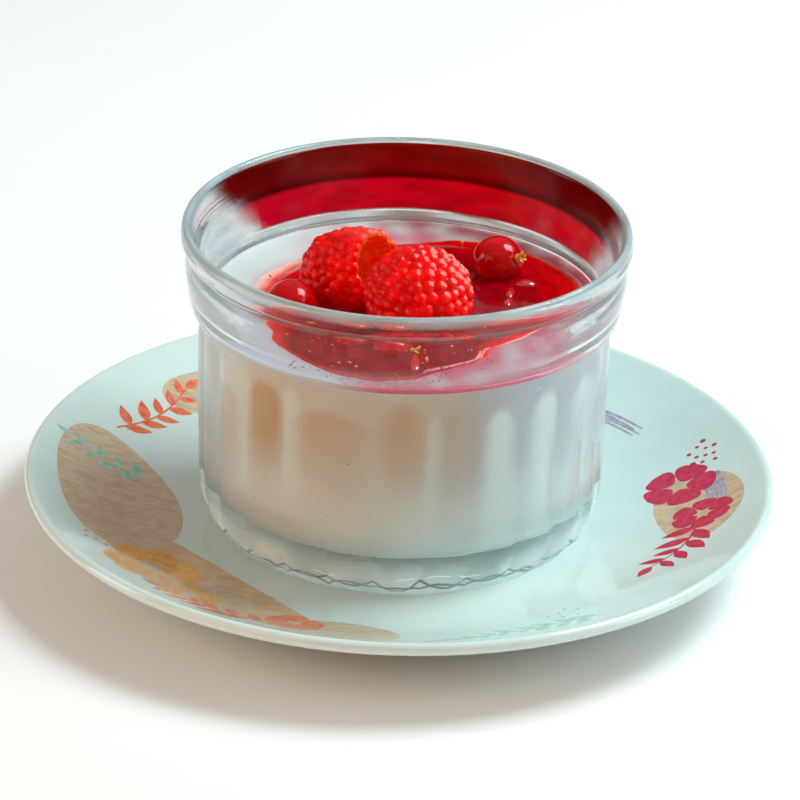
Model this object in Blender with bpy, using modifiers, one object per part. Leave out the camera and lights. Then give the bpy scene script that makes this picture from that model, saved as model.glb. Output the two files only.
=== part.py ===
"""Panna cotta with berry coulis, raspberries and redcurrants, in a ribbed glass on its saucer.

Frame: metres, +Z up, origin at the centre of the saucer's foot. Azimuths run from +X
towards +Y, and the dessert is seen from -Y.

Outlines are written in millimetres as (radius, height) pairs and turned into metres where
the mesh is made. Berries are solids from the sauce's surface up.
"""
import math

import bmesh
import bpy
from mathutils import Matrix, Vector

MM = 0.001
GAP = 0.3                      # clearance between neighbouring pieces

# Saucer
SAUCER_RADIUS = 75.0
SAUCER_EDGE_HEIGHT = 16.0
SAUCER_WELL_HEIGHT = 5.4
SAUCER_WELL_RADIUS = 39.0
SAUCER_LIP_THICKNESS = 2.6
SAUCER_FOOT_RADIUS = 44.5
SAUCER_FOOT_WIDTH = 3.6
SAUCER_FOOT_FLARE = 0.5
SAUCER_UNDERSIDE_HEIGHT = 2.2
SAUCER_UPPER_PULLS = ((52.0, SAUCER_WELL_HEIGHT), (64.0, 11.0))    # Bezier handles, well to lip
SAUCER_LOWER_PULLS = ((65.0, 8.4), (55.0, 4.0))                    # Bezier handles, lip to foot
SAUCER_STEPS = 48

# Glass
GLASS_FOOT_HEIGHT = SAUCER_WELL_HEIGHT + GAP
GLASS_CREST_HEIGHT = 69.5
GLASS_RIM_RADIUS = 44.5
GLASS_FOOT_RADIUS = 34.0
GLASS_FOOT_RING_RADII = (30.5, 29.0)
GLASS_FOOT_HOLLOW = 1.0        # the glass's underside is raised this much inside its foot ring
GLASS_HEEL_TOP = 17.5
GLASS_SHOULDER_HEIGHT = 52.6
GLASS_COLLAR_FOOT_RADIUS = 42.5
GLASS_COLLAR_ROUNDING = 0.8
GLASS_COLLAR_MIDDLE = (43.5, 60.4)
GLASS_BEAD = ((43.1, GLASS_CREST_HEIGHT), (44.1, 69.0), (GLASS_RIM_RADIUS, 67.3), (44.2, 65.7), (43.7, 64.7))
GLASS_BODY_RADIUS = 40.9
GLASS_BODY_TAPER = 0.5         # how much narrower the body is at the heel's top
GLASS_CAVITY_FLOOR = 13.0
GLASS_CAVITY_CORNER = 9.3
GLASS_CAVITY_RADIUS = 36.6
GLASS_CAVITY_MIDDLE = (37.4, 40.0)
GLASS_FILL_RADIUS = 38.6
GLASS_INNER_COLLAR = ((40.4, 59.5), (41.8, 66.0), (42.3, 68.4))
RIB_COUNT = 26
RIB_DEPTH = 0.65
RIB_TOP = 50.0                 # highest point of a rib's rounded end
RIB_DOME = 4.0                 # length of that rounded end
RIB_DOME_SHARES = (0.0, 0.45, 1.0)
RIB_SEGMENTS = 3               # facets across one rib

# Filling and sauce
CREAM_LEVEL = 52.5
CREAM_DISH_DEPTH = 2.0
CREAM_CLEARANCE = GAP + 0.05   # its wall and the glass's have corners at different angles
CREAM_DISH_FLOOR_RADIUS = 24.0
CREAM_DISH_EDGE_RADIUS = 33.0
CREAM_STEPS = 40
COULIS_LEVEL = CREAM_LEVEL + 0.8
COULIS_RADIUS = 32.4
COULIS_EDGE_THICKNESS = 0.5
COULIS_EDGE_ROUNDING = 0.5
COULIS_SHELF_RADIUS = 26.0     # the sauce is thin from here out
COULIS_POOL_RADIUS = 18.0      # and fills the cream's dish from here in
COULIS_STEPS = 48
# Uneven outline of the pool: (waves round it, height of the wave, azimuth of a crest)
COULIS_WAVES = ((1, 1.4, -24.0), (2, 2.4, 42.0), (3, 1.6, 21.0), (7, 0.4, 10.0))

# Berries, all cut off just above the sauce. A berry's side is a flattened ellipse: its radius
# is (1 - share ** BERRY_FULLNESS) ** BERRY_ROUNDNESS of the widest, share being the way to its end.
BERRY_FOOT = COULIS_LEVEL + GAP
BERRY_FULLNESS = 2.3
BERRY_ROUNDNESS = 0.55
DRUPELET_RELIEF = 0.9
DRUPELETS_ROUND = 20
SMOOTH_TIP_RADIUS = 0.5        # the relief leaves the very tip alone
CAVITY_MARGIN = 0.1            # and everything this near the cavity
DRUPELET_ROWS = 13

# Upright raspberry: widest place, and how far it reaches up and would reach down
UPRIGHT_CENTRE = (2.6, -11.5, 59.3)
UPRIGHT_RADIUS = 10.8
UPRIGHT_UP = 10.1
UPRIGHT_DOWN = 8.9

# Lying raspberry: centre of its open end, and the way from there to its tip
LYING_CENTRE = (-5.5, -1.0, 60.5)
LYING_AXIS = (-0.76, 0.52, -0.35)
LYING_RADIUS = 8.5
LYING_LENGTH = 18.0
LYING_SHOULDER = 7.5           # from the open end to the widest place
LYING_BASE_REACH = 16.5        # how far its round side would run on past the open end
LYING_LIP_SHARE = 0.86         # open end's outer radius, as a share of the widest
LYING_CAVITY_RADIUS = 5.9
LYING_CAVITY_TAPER = 0.55
LYING_CAVITY_TAPER_SHARE = 0.75  # how far down the cavity it has narrowed so much
LYING_CAVITY_DEPTH = 11.0

# Redcurrants: name, centre, radius, direction of the dried flower at the end
CURRANTS = (
    ("redcurrant_left", (-22.3, -9.4, 55.6), 5.1, (0.6, -0.5, -0.4)),
    ("redcurrant_right", (18.2, 14.6, 55.4), 5.3, (0.72, -0.52, 0.42)),
    ("redcurrant_front", (-2.3, -26.2, 52.1), 4.5, (0.88, -0.35, 0.3)),
    ("redcurrant_front_left", (-10.0, -23.0, 51.7), 4.2, (-0.3, 0.5, -0.8)),
)
CURRANT_STEPS = 12
CALYX_RADIUS = 0.9
CALYX_LENGTH = 1.3


def smoothstep(value):
    value = min(max(value, 0.0), 1.0)
    return value * value * (3.0 - 2.0 * value)


def ellipse_points(centre, radii, start, end, count):
    """Points on an ellipse's arc, angles in degrees, both ends included."""
    points = []
    for i in range(count + 1):
        angle = math.radians(start + (end - start) * i / count)
        points.append((centre[0] + radii[0] * math.cos(angle), centre[1] + radii[1] * math.sin(angle)))
    return points


def curve_points(start, pull_start, pull_end, end, count):
    """Points on a cubic Bezier curve, both ends included."""
    points = []
    for i in range(count + 1):
        t = i / count
        weights = ((1 - t) ** 3, 3 * t * (1 - t) ** 2, 3 * t * t * (1 - t), t ** 3)
        controls = (start, pull_start, pull_end, end)
        points.append(tuple(sum(w * c[axis] for w, c in zip(weights, controls)) for axis in (0, 1)))
    return points


def make_material(name, colour, roughness, transmission=0.0):
    material = bpy.data.materials.new(name)
    material.use_nodes = True
    shader = material.node_tree.nodes["Principled BSDF"]
    shader.inputs["Base Color"].default_value = (*colour, 1.0)
    shader.inputs["Roughness"].default_value = roughness
    shader.inputs["Metallic"].default_value = 0.0
    shader.inputs["Transmission Weight"].default_value = transmission
    return material


def turned(name, outline, steps, material, collection):
    """A turned piece: the outline runs down its outer side, from the axis back to the axis."""
    mesh = bpy.data.meshes.new(name)
    vertices = [(radius * MM, 0.0, height * MM) for radius, height in outline]
    mesh.from_pydata(vertices, [(i, i + 1) for i in range(len(vertices) - 1)], [])
    piece = bpy.data.objects.new(name, mesh)
    piece.data.materials.append(material)
    collection.objects.link(piece)
    screw = piece.modifiers.new("Turn", "SCREW")
    screw.axis = "Z"
    screw.angle = math.tau
    screw.steps = steps
    screw.render_steps = steps
    screw.use_merge_vertices = True
    screw.merge_threshold = 0.00001
    return piece


def bake(piece, reshape=None, cut_height=None):
    """Apply the modifiers, move each vertex by reshape, and cut the foot off level."""
    depsgraph = bpy.context.evaluated_depsgraph_get()
    mesh = bpy.data.meshes.new_from_object(piece.evaluated_get(depsgraph))
    work = bmesh.new()
    work.from_mesh(mesh)
    if reshape:
        for vertex in work.verts:
            vertex.co = reshape(vertex.co / MM) * MM
    if cut_height is not None:
        # Split along the low corners, so that each bump stands alone.
        bmesh.ops.triangulate(work, faces=work.faces, quad_method="SHORT_EDGE")
        to_local = piece.matrix_world.inverted()
        plane_point = to_local @ Vector((0.0, 0.0, cut_height * MM))
        plane_normal = to_local.to_3x3() @ Vector((0.0, 0.0, 1.0))
        geometry = work.verts[:] + work.edges[:] + work.faces[:]
        cut = bmesh.ops.bisect_plane(
            work, geom=geometry, dist=0.00001, plane_co=plane_point, plane_no=plane_normal, clear_inner=True
        )
        rim = [item for item in cut["geom_cut"] if isinstance(item, bmesh.types.BMEdge)]
        bmesh.ops.contextual_create(work, geom=rim)
    bmesh.ops.recalc_face_normals(work, faces=work.faces)
    work.to_mesh(mesh)
    work.free()
    piece.modifiers.clear()
    piece.data = mesh
    mesh.shade_smooth()
    mesh.set_sharp_from_angle(angle=math.radians(40.0))


def place(piece, location, axis):
    """Stand the piece's own Z along axis, with its origin at location."""
    turn = Vector(axis).to_track_quat("Z", "Y").to_matrix().to_4x4()
    piece.matrix_world = Matrix.Translation(Vector(location) * MM) @ turn
    bpy.context.view_layer.update()


def make_saucer(collection):
    well = (SAUCER_WELL_RADIUS, SAUCER_WELL_HEIGHT)
    lip_centre = (SAUCER_RADIUS - 0.5 * SAUCER_LIP_THICKNESS, SAUCER_EDGE_HEIGHT - 0.5 * SAUCER_LIP_THICKNESS)
    lip_radii = (0.5 * SAUCER_LIP_THICKNESS, 0.5 * SAUCER_LIP_THICKNESS)
    lip = ellipse_points(lip_centre, lip_radii, 90.0, -90.0, 4)
    upper = curve_points(well, *SAUCER_UPPER_PULLS, lip[0], 5)
    foot_top = (SAUCER_FOOT_RADIUS + SAUCER_FOOT_FLARE, SAUCER_UNDERSIDE_HEIGHT)
    lower = curve_points(lip[-1], *SAUCER_LOWER_PULLS, foot_top, 4)
    inner_foot = SAUCER_FOOT_RADIUS - SAUCER_FOOT_WIDTH
    foot = [
        (SAUCER_FOOT_RADIUS, 0.0),
        (inner_foot, 0.0),
        (inner_foot - SAUCER_FOOT_FLARE, SAUCER_UNDERSIDE_HEIGHT),
        (0.0, SAUCER_UNDERSIDE_HEIGHT),
    ]
    outline = [(0.0, SAUCER_WELL_HEIGHT), *upper, *lip[1:], *lower[1:], *foot]
    porcelain = make_material("White porcelain", (0.80, 0.84, 0.82), 0.15)
    bake(turned("saucer", outline, SAUCER_STEPS, porcelain, collection))


def cavity_outline(clearance=0.0):
    """The glass's inner wall from the floor up to the filling's level."""
    corner_centre = (GLASS_CAVITY_RADIUS - GLASS_CAVITY_CORNER, GLASS_CAVITY_FLOOR + GLASS_CAVITY_CORNER)
    corner_size = GLASS_CAVITY_CORNER - clearance
    corner = ellipse_points(corner_centre, (corner_size, corner_size), -90.0, 0.0, 3)
    middle = (GLASS_CAVITY_MIDDLE[0] - clearance, GLASS_CAVITY_MIDDLE[1])
    top = (GLASS_FILL_RADIUS - clearance, CREAM_LEVEL)
    return [(0.0, GLASS_CAVITY_FLOOR + clearance), *corner, middle, top]


def rib_share(azimuth, height):
    """1 along the crest of a rib, 0 in the grooves and above the ribs' rounded ends."""
    turn = azimuth / math.tau * RIB_COUNT
    across = 2.0 * (turn - math.floor(turn)) - 1.0
    along = max(0.0, (height - RIB_TOP + RIB_DOME) / RIB_DOME)
    return max(0.0, 1.0 - across * across - along * along)


def press_ribs(point):
    """Press the grooves between the ribs into the glass's outer wall and heel."""
    radius = math.hypot(point.x, point.y)
    middle_of_wall = 0.5 * (GLASS_FILL_RADIUS + GLASS_BODY_RADIUS)
    outside_cavity = radius > middle_of_wall or point.z < GLASS_CAVITY_FLOOR
    above_foot = radius > GLASS_FOOT_RADIUS + MM
    if not (outside_cavity and above_foot and point.z < GLASS_SHOULDER_HEIGHT):
        return point
    depth = RIB_DEPTH * (1.0 - rib_share(math.atan2(point.y, point.x), point.z))
    shrink = (radius - depth) / radius
    return Vector((point.x * shrink, point.y * shrink, point.z))


def make_glass(collection):
    inner = [*cavity_outline(), *GLASS_INNER_COLLAR]
    collar = [
        GLASS_COLLAR_MIDDLE,
        (GLASS_COLLAR_FOOT_RADIUS, GLASS_SHOULDER_HEIGHT + GLASS_COLLAR_ROUNDING),
        (GLASS_COLLAR_FOOT_RADIUS - GLASS_COLLAR_ROUNDING, GLASS_SHOULDER_HEIGHT),
        (GLASS_BODY_RADIUS, GLASS_SHOULDER_HEIGHT - GAP),
    ]
    rib_ends = [(GLASS_BODY_RADIUS, RIB_TOP - RIB_DOME * share) for share in RIB_DOME_SHARES]
    heel_centre = (GLASS_FOOT_RADIUS, GLASS_HEEL_TOP)
    heel_width = GLASS_BODY_RADIUS - GLASS_BODY_TAPER - GLASS_FOOT_RADIUS
    heel = ellipse_points(heel_centre, (heel_width, GLASS_HEEL_TOP - GLASS_FOOT_HEIGHT), 0.0, -90.0, 4)
    ring_outer, ring_inner = GLASS_FOOT_RING_RADII
    underside = GLASS_FOOT_HEIGHT + GLASS_FOOT_HOLLOW
    foot = [(ring_outer, GLASS_FOOT_HEIGHT), (ring_inner, underside), (0.0, underside)]
    outline = [*inner, *GLASS_BEAD, *collar, *rib_ends, *heel, *foot]
    clear_glass = make_material("Clear glass", (0.90, 0.95, 0.94), 0.02, transmission=1.0)
    bake(turned("glass", outline, RIB_COUNT * RIB_SEGMENTS, clear_glass, collection), press_ribs)


def make_panna_cotta(collection):
    dish = []
    for i in range(4):
        share = i / 3
        radius = CREAM_DISH_FLOOR_RADIUS + share * (CREAM_DISH_EDGE_RADIUS - CREAM_DISH_FLOOR_RADIUS)
        dish.append((radius, CREAM_LEVEL - CREAM_DISH_DEPTH * (1.0 - smoothstep(share))))
    side = cavity_outline(clearance=CREAM_CLEARANCE)
    outline = [(0.0, CREAM_LEVEL - CREAM_DISH_DEPTH), *dish, *reversed(side)]
    cream = make_material("Cooked cream", (0.86, 0.83, 0.76), 0.35)
    bake(turned("panna_cotta", outline, CREAM_STEPS, cream, collection))


def coulis_reach(azimuth):
    """How far the pool of sauce reaches from the middle."""
    return COULIS_RADIUS + sum(
        size * math.cos(waves * (azimuth - math.radians(crest))) for waves, size, crest in COULIS_WAVES
    )


def spread_coulis(point):
    stretch = coulis_reach(math.atan2(point.y, point.x)) / COULIS_RADIUS
    return Vector((point.x * stretch, point.y * stretch, point.z))


def make_coulis(collection):
    film_foot = COULIS_LEVEL - COULIS_EDGE_THICKNESS
    pool_foot = CREAM_LEVEL - CREAM_DISH_DEPTH + 2.0 * GAP
    outline = [
        (0.0, COULIS_LEVEL),
        (COULIS_RADIUS - COULIS_EDGE_ROUNDING, COULIS_LEVEL),
        (COULIS_RADIUS, COULIS_LEVEL - 0.5 * COULIS_EDGE_THICKNESS),
        (COULIS_RADIUS - COULIS_EDGE_ROUNDING, film_foot),
        (COULIS_SHELF_RADIUS, film_foot),
        (COULIS_POOL_RADIUS, pool_foot),
        (0.0, pool_foot),
    ]
    sauce = make_material("Berry coulis", (0.35, 0.005, 0.01), 0.08)
    bake(turned("berry_coulis", outline, COULIS_STEPS, sauce, collection), spread_coulis)


def drupelets(point, axis_length):
    """Raise a checkered relief of drupelets on a berry's outer side, which runs up from 0."""
    turn = math.atan2(point.y, point.x) / math.tau * DRUPELETS_ROUND
    row = point.z / axis_length * DRUPELET_ROWS
    swell = math.cos(math.tau * turn + math.pi * round(row))
    outward = Vector((point.x, point.y, 0.0))
    if outward.length < SMOOTH_TIP_RADIUS:
        return point
    return point + outward.normalized() * (DRUPELET_RELIEF * 0.5 * swell)


def berry_radius(widest, share):
    """A berry's radius at a share of the way from its widest place to its end."""
    return widest * (1.0 - share ** BERRY_FULLNESS) ** BERRY_ROUNDNESS


def make_upright_raspberry(collection, flesh):
    height = UPRIGHT_UP + UPRIGHT_DOWN
    base_radius = UPRIGHT_RADIUS - 0.5 * DRUPELET_RELIEF
    outline = [(0.0, UPRIGHT_UP)]
    for i in range(1, DRUPELET_ROWS):
        along = UPRIGHT_UP - height * i / DRUPELET_ROWS
        reach = UPRIGHT_UP if along > 0.0 else UPRIGHT_DOWN
        outline.append((berry_radius(base_radius, abs(along) / reach), along))
    outline.append((0.0, -UPRIGHT_DOWN))
    berry = turned("raspberry_upright", outline, 2 * DRUPELETS_ROUND, flesh, collection)
    place(berry, UPRIGHT_CENTRE, (0.0, 0.0, 1.0))
    bake(berry, lambda point: drupelets(point, height), cut_height=BERRY_FOOT)


def make_lying_raspberry(collection, flesh):
    base_radius = LYING_RADIUS - 0.5 * DRUPELET_RELIEF
    outline = [(0.0, LYING_LENGTH)]
    for i in range(1, DRUPELET_ROWS):
        along = LYING_LENGTH * (1.0 - i / DRUPELET_ROWS)
        reach = LYING_LENGTH - LYING_SHOULDER if along > LYING_SHOULDER else LYING_BASE_REACH
        outline.append((berry_radius(base_radius, abs(along - LYING_SHOULDER) / reach), along))
    outline += [
        (base_radius * LYING_LIP_SHARE, 0.0),
        (LYING_CAVITY_RADIUS, 2.0 * GAP),
        (LYING_CAVITY_RADIUS * LYING_CAVITY_TAPER, LYING_CAVITY_TAPER_SHARE * LYING_CAVITY_DEPTH),
        (0.0, LYING_CAVITY_DEPTH),
    ]

    def relief(point):
        radius = math.hypot(point.x, point.y)
        near_radius = LYING_CAVITY_RADIUS + CAVITY_MARGIN
        in_cavity = radius < near_radius and point.z < LYING_CAVITY_DEPTH + CAVITY_MARGIN
        return point if in_cavity else drupelets(point, LYING_LENGTH)

    berry = turned("raspberry_lying", outline, 2 * DRUPELETS_ROUND, flesh, collection)
    place(berry, LYING_CENTRE, LYING_AXIS)
    bake(berry, relief, cut_height=BERRY_FOOT)


def make_currants(collection):
    skin = make_material("Redcurrant skin", (0.45, 0.01, 0.02), 0.1)
    for name, centre, radius, calyx_axis in CURRANTS:
        neck = math.degrees(math.asin(CALYX_RADIUS / radius))
        outline = [(0.0, radius + CALYX_LENGTH), (CALYX_RADIUS, radius + CALYX_LENGTH)]
        outline += ellipse_points((0.0, 0.0), (radius, radius), 90.0 - neck, -90.0, 7)
        outline[-1] = (0.0, -radius)
        currant = turned(name, outline, CURRANT_STEPS, skin, collection)
        place(currant, centre, calyx_axis)
        bake(currant, cut_height=BERRY_FOOT)


def main():
    for leftover in list(bpy.data.objects):
        bpy.data.objects.remove(leftover, do_unlink=True)
    dessert = bpy.data.collections.new("Panna cotta")
    bpy.context.scene.collection.children.link(dessert)

    make_saucer(dessert)
    make_glass(dessert)
    make_panna_cotta(dessert)
    make_coulis(dessert)
    flesh = make_material("Raspberry flesh", (0.75, 0.01, 0.015), 0.4)
    make_upright_raspberry(dessert, flesh)
    make_lying_raspberry(dessert, flesh)
    make_currants(dessert)


main()
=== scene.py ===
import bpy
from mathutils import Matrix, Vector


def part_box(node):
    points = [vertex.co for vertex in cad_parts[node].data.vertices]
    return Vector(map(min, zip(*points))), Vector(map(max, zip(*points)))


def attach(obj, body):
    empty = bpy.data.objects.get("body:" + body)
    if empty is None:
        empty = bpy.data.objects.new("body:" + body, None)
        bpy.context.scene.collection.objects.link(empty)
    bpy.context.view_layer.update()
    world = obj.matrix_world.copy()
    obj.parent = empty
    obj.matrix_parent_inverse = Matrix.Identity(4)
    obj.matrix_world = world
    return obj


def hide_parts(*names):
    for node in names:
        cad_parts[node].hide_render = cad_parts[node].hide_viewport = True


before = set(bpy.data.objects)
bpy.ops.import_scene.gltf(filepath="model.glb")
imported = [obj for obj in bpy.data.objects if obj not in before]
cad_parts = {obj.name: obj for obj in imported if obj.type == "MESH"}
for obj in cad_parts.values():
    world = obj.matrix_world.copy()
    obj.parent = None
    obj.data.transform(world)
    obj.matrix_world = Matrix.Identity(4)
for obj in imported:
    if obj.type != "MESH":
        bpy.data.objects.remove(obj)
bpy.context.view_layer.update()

"""Looks of a panna cotta with berries, in a ribbed glass on a printed saucer.

The frame is the CAD model's: metres, +Z up, origin under the middle of the saucer. Shapes are
worked out in millimetres and turned into metres where a mesh is made. Azimuths run from +X
towards +Y; the camera stands at -Y.
"""
import math
import random

import bmesh
import bpy
import numpy as np
from mathutils import Matrix, Vector, geometry, kdtree, noise

MM = 0.001
TINY = 0.001                   # points nearer than this, in millimetres, are one


def top_corner(name):
    """A CAD node's highest corner, in millimetres."""
    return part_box(name)[1] / MM


# Driving sizes, from the CAD nodes
SAUCER_RADIUS, _, SAUCER_EDGE_HEIGHT = top_corner("saucer")
GLASS_RIM_RADIUS, _, GLASS_CREST = top_corner("glass")
CREAM_LEVEL = top_corner("panna_cotta").z
COULIS_LEVEL = top_corner("berry_coulis").z

# Saucer. Outline points are (radius, height), here and below.
WELL_HEIGHT = 5.4
WELL_RADIUS = 39.0
LIP_THICKNESS = 2.6
SAUCER_UPPER_PULLS = ((52.0, WELL_HEIGHT), (64.0, 11.0))
SAUCER_LOWER_PULLS = ((65.0, 8.4), (55.0, 4.0))
SAUCER_FOOT_RADIUS = 44.5
SAUCER_FOOT_WIDTH = 3.6
SAUCER_FOOT_FLARE = 0.5
SAUCER_UNDERSIDE = 2.2
SAUCER_STEPS = 256

# Print
PRINT_SINK = 0.05              # how far a printed shape's edge reaches down into the glaze
PRINT_GRID = 1.6
WASH_GRAIN = (1.0, 2.2, 1.0)
GOLDEN_ANGLE = 2.39996

# Glass
GLASS_FOOT_HEIGHT = WELL_HEIGHT + 0.04
GLASS_FOOT_RADIUS = 34.0
GLASS_HEEL_TOP = 17.5
GLASS_HEEL_BOTTOM = 5.7
GLASS_SHOULDER = 52.6
GLASS_BODY_RADIUS = 40.9
GLASS_BODY_TAPER = 0.5
GLASS_FLOOR = 13.0
GLASS_CORNER = 9.3
INNER_WALL = ((36.6, 22.3), (36.95, 31.0), (37.4, 40.0), (38.6, CREAM_LEVEL), (40.4, 59.5), (41.8, 66.0))
CORNER_CENTRE = (INNER_WALL[0][0] - GLASS_CORNER, GLASS_FLOOR + GLASS_CORNER)
BEAD = ((41.8, 66.0), (42.3, 68.4), (43.2, GLASS_CREST), (44.15, 69.0), (GLASS_RIM_RADIUS, 67.3),
        (44.2, 65.7), (43.7, 64.7), (43.55, 63.0))
COLLAR = ((43.55, 63.0), (43.5, 60.4), (42.9, 56.0), (42.5, 53.4))
SHOULDER = ((42.5, 53.4), (42.27, 52.84), (41.7, 52.6), (41.1, 52.45), (GLASS_BODY_RADIUS, 52.0))
TAPER_TOP = 44.0
FOOT = ((33.9, 5.62), (33.0, GLASS_FOOT_HEIGHT), (31.0, GLASS_FOOT_HEIGHT), (30.2, 5.8), (29.0, 6.7))
UNDERSIDE = ((24.0, 6.9), (16.0, 7.0), (8.0, 7.0), (0.0, 7.0))
RIB_COUNT = 26
RIB_STEPS = 16
RIB_DEPTH = 0.65
RIB_TOP = 50.0
RIB_DOME = 4.0
HEEL_LINES = ((8.8, -1.5), (9.7, 1.5))      # height and sag of the dark lines round the heel
RIM_LINES = ((65.1, 0.30), (64.2, 0.22))    # height and half width of those under the rim

# Filling and sauce
DISH_DEPTH = 2.0
DISH_FLOOR_RADIUS = 24.0
DISH_EDGE_RADIUS = 33.0
CREAM_STEPS = RIB_COUNT * 12
CREAM_TOP_RADIUS, CREAM_TOP_RINGS = 38.0, 40
WALL_REACH = 0.05              # how far the cream reaches into the glass, so that no gap shows
COULIS_RADIUS = 32.4
COULIS_WAVES = ((1, 1.4, -24.0), (2, 2.4, 42.0), (3, 1.6, 21.0), (7, 0.4, 10.0))
COULIS_STEPS = 288
COULIS_RINGS = 110
COULIS_SINK = 0.08             # how far the sauce reaches into the cream
MENISCUS_HEIGHT, MENISCUS_REACH = 0.45, 0.7
SHALLOW = 0.9                  # sauce up to this deep ends in a soft edge
FILM_FOOT = 2.7                # the red film on the wall starts this far above the cream
FILM_START, FILM_END = -22.0, 218.0
FILM_STEPS, FILM_ROWS = 240, 36
FILM_SIDES = (0.02, 0.10)      # how far the film's two sides stand in from the wall

# Bands on the cream's side, as if seen through the ribs, all of them painted light: azimuth and half width in
# degrees, upper and lower end, strength.
# Painted warm light from the room, in tan bands.
PAINTED_WARM_BANDS = (
    (-149.8, 4.5, 43.5, 28.0, 0.34), (-132.4, 6.0, 47.5, 30.0, 0.42), (-110.5, 11.0, 45.5, 26.0, 0.36),
    (-88.8, 7.0, 48.5, 30.0, 0.24), (-72.1, 6.6, 48.0, 29.0, 0.20),
)
# Painted highlights, in pale bands with rounded tops.
PAINTED_PALE_BANDS = (
    (-141.5, 3.2, 49.0, 10.0, 0.35), (-123.5, 3.6, 49.0, 10.0, 0.55), (-80.3, 2.6, 46.0, 10.0, 0.5),
    (-60.6, 4.2, 46.0, 0.0, 1.0), (-44.6, 4.6, 47.0, 0.0, 1.0), (-26.0, 7.0, 46.0, 0.0, 0.6),
)

# Berries
UPRIGHT_CENTRE = (2.6, -11.5, 59.3)
UPRIGHT_RADIUS = 10.8
UPRIGHT_UP = 10.1
UPRIGHT_DOWN = 8.9
LYING_CENTRE = (-5.5, -1.0, 60.5)
LYING_AXIS = (-0.76, 0.52, -0.35)
LYING_RADIUS = 8.5
LYING_LENGTH = 18.0
LYING_SHOULDER = 7.5
LYING_BASE_REACH = 16.5
LYING_CAVITY_RADIUS = 5.9
LYING_CAVITY_DEPTH = 11.0
CAVITY_SHARES = ((0.96, 2.0), (0.82, 5.0), (0.57, 8.2), (0.3, 10.3))
PAINTED_HIGHLIGHT_WAY = Vector((0.66, -0.10, 0.745)).normalized()      # painted highlights sit on the side of each drupelet that faces this way
BERRY_FULLNESS = 2.3
BERRY_ROUNDNESS = 0.55
BERRY_VOXEL = 0.21
UPRIGHT_INSET, LYING_INSET = 0.95, 0.9      # how far inside a berry's size its drupelets are seated
UPRIGHT_WAIST, LYING_WAIST = 9.3, 5.8       # the berries' radii at the sauce's level
CORE_INSET = 0.1               # how far inside the seats the body under the drupelets ends
DRUPELET_PITCH = 2.55
CURRANTS = (
    ("redcurrant_left", (-22.3, -9.4, 55.6), 5.1, (0.6, -0.5, -0.4)),
    ("redcurrant_right", (18.2, 14.6, 55.4), 5.3, (0.72, -0.52, 0.42)),
    ("redcurrant_front", (-2.3, -26.2, 52.1), 4.5, (0.88, -0.35, 0.3)),
    ("redcurrant_front_left", (-10.0, -23.0, 51.7), 4.2, (-0.3, 0.5, -0.8)),
)
CURRANT_STEPS, CURRANT_ROWS = 72, 40
BUBBLES = ((23.8, 9.4, 2.2, 1.4), (20.6, 5.0, 1.0, 2.6), (20.2, 0.2, 0.9, 1.8), (2.3, -31.2, 1.0, 2.0))
SMALL_BUBBLE_COUNT = 26
GRAIN_COUNT = 150
SPECK_COUNT = 46
FLECKS = ((11.1, 28.5), (24.5, 9.0), (-14.0, -27.0), (4.5, -29.8), (-27.0, 10.0), (16.0, -18.5))

# Light and camera, in metres
LAMPS = (       # name, direction and distance from the food, size, watts, colour
    ("window", (0.56, 0.22, 0.79), 0.9, (0.42, 0.42), 8.0, (0.76, 0.96, 1.0)),
    ("right_softbox", (0.95, -0.25, 0.25), 0.9, (0.35, 0.7), 2.0, (0.84, 0.97, 1.0)),
    ("left_softbox", (-0.95, -0.02, 0.22), 0.9, (0.3, 0.6), 2.3, (0.64, 0.93, 1.0)),
    ("warm_fill", (-0.7, -0.6, 0.4), 1.0, (0.7, 0.7), 3.5, (1.0, 0.46, 0.18)),
)
LAMP_TARGET = Vector((0.0, 0.0, 0.05))
CAMERA_PLACE = Vector((0.0, -1.0124, 0.5206))
CAMERA_TARGET = Vector((-0.0004, 0.0, 0.0312))
CAMERA_ROLL = math.radians(1.861)
CAMERA_LENS = 254.18


# ---------------- numbers and curves

def smoothstep(value):
    value = min(max(value, 0.0), 1.0)
    return value * value * (3.0 - 2.0 * value)


def fade(value, start, end):
    """0 before start, 1 after end, and smooth between them."""
    return smoothstep((value - start) / (end - start))


def near(azimuth, centre, inner, outer):
    """1 within inner degrees of centre, 0 beyond outer, and smooth between them."""
    return 1.0 - fade(abs(turn_between(azimuth, centre)), inner, outer)


def turn_between(azimuth, centre):
    """The angle from centre to azimuth, in degrees from -180 to 180."""
    return (azimuth - centre + 180.0) % 360.0 - 180.0


def azimuth_of(x, y):
    return math.degrees(math.atan2(y, x))


def polar(radius, angle, *height):
    """The point at a radius and an angle in radians, with its height where one is given."""
    return (radius * math.cos(angle), radius * math.sin(angle), *height)


def waver(x, y, z, scale=1.0):
    """Smooth noise from -1 to 1."""
    return noise.noise(Vector((x, y, z)) * scale)


def ellipse_points(centre, radii, start, end, count):
    points = []
    for i in range(count + 1):
        angle = math.radians(start + (end - start) * i / count)
        points.append((centre[0] + radii[0] * math.cos(angle), centre[1] + radii[1] * math.sin(angle)))
    return points


def bezier_points(start, pull_start, pull_end, end, count):
    t = np.linspace(0.0, 1.0, count + 1)[:, None]
    weights = np.hstack(((1 - t) ** 3, 3 * t * (1 - t) ** 2, 3 * t * t * (1 - t), t ** 3))
    return [tuple(point) for point in weights @ np.array((start, pull_start, pull_end, end))]


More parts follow.
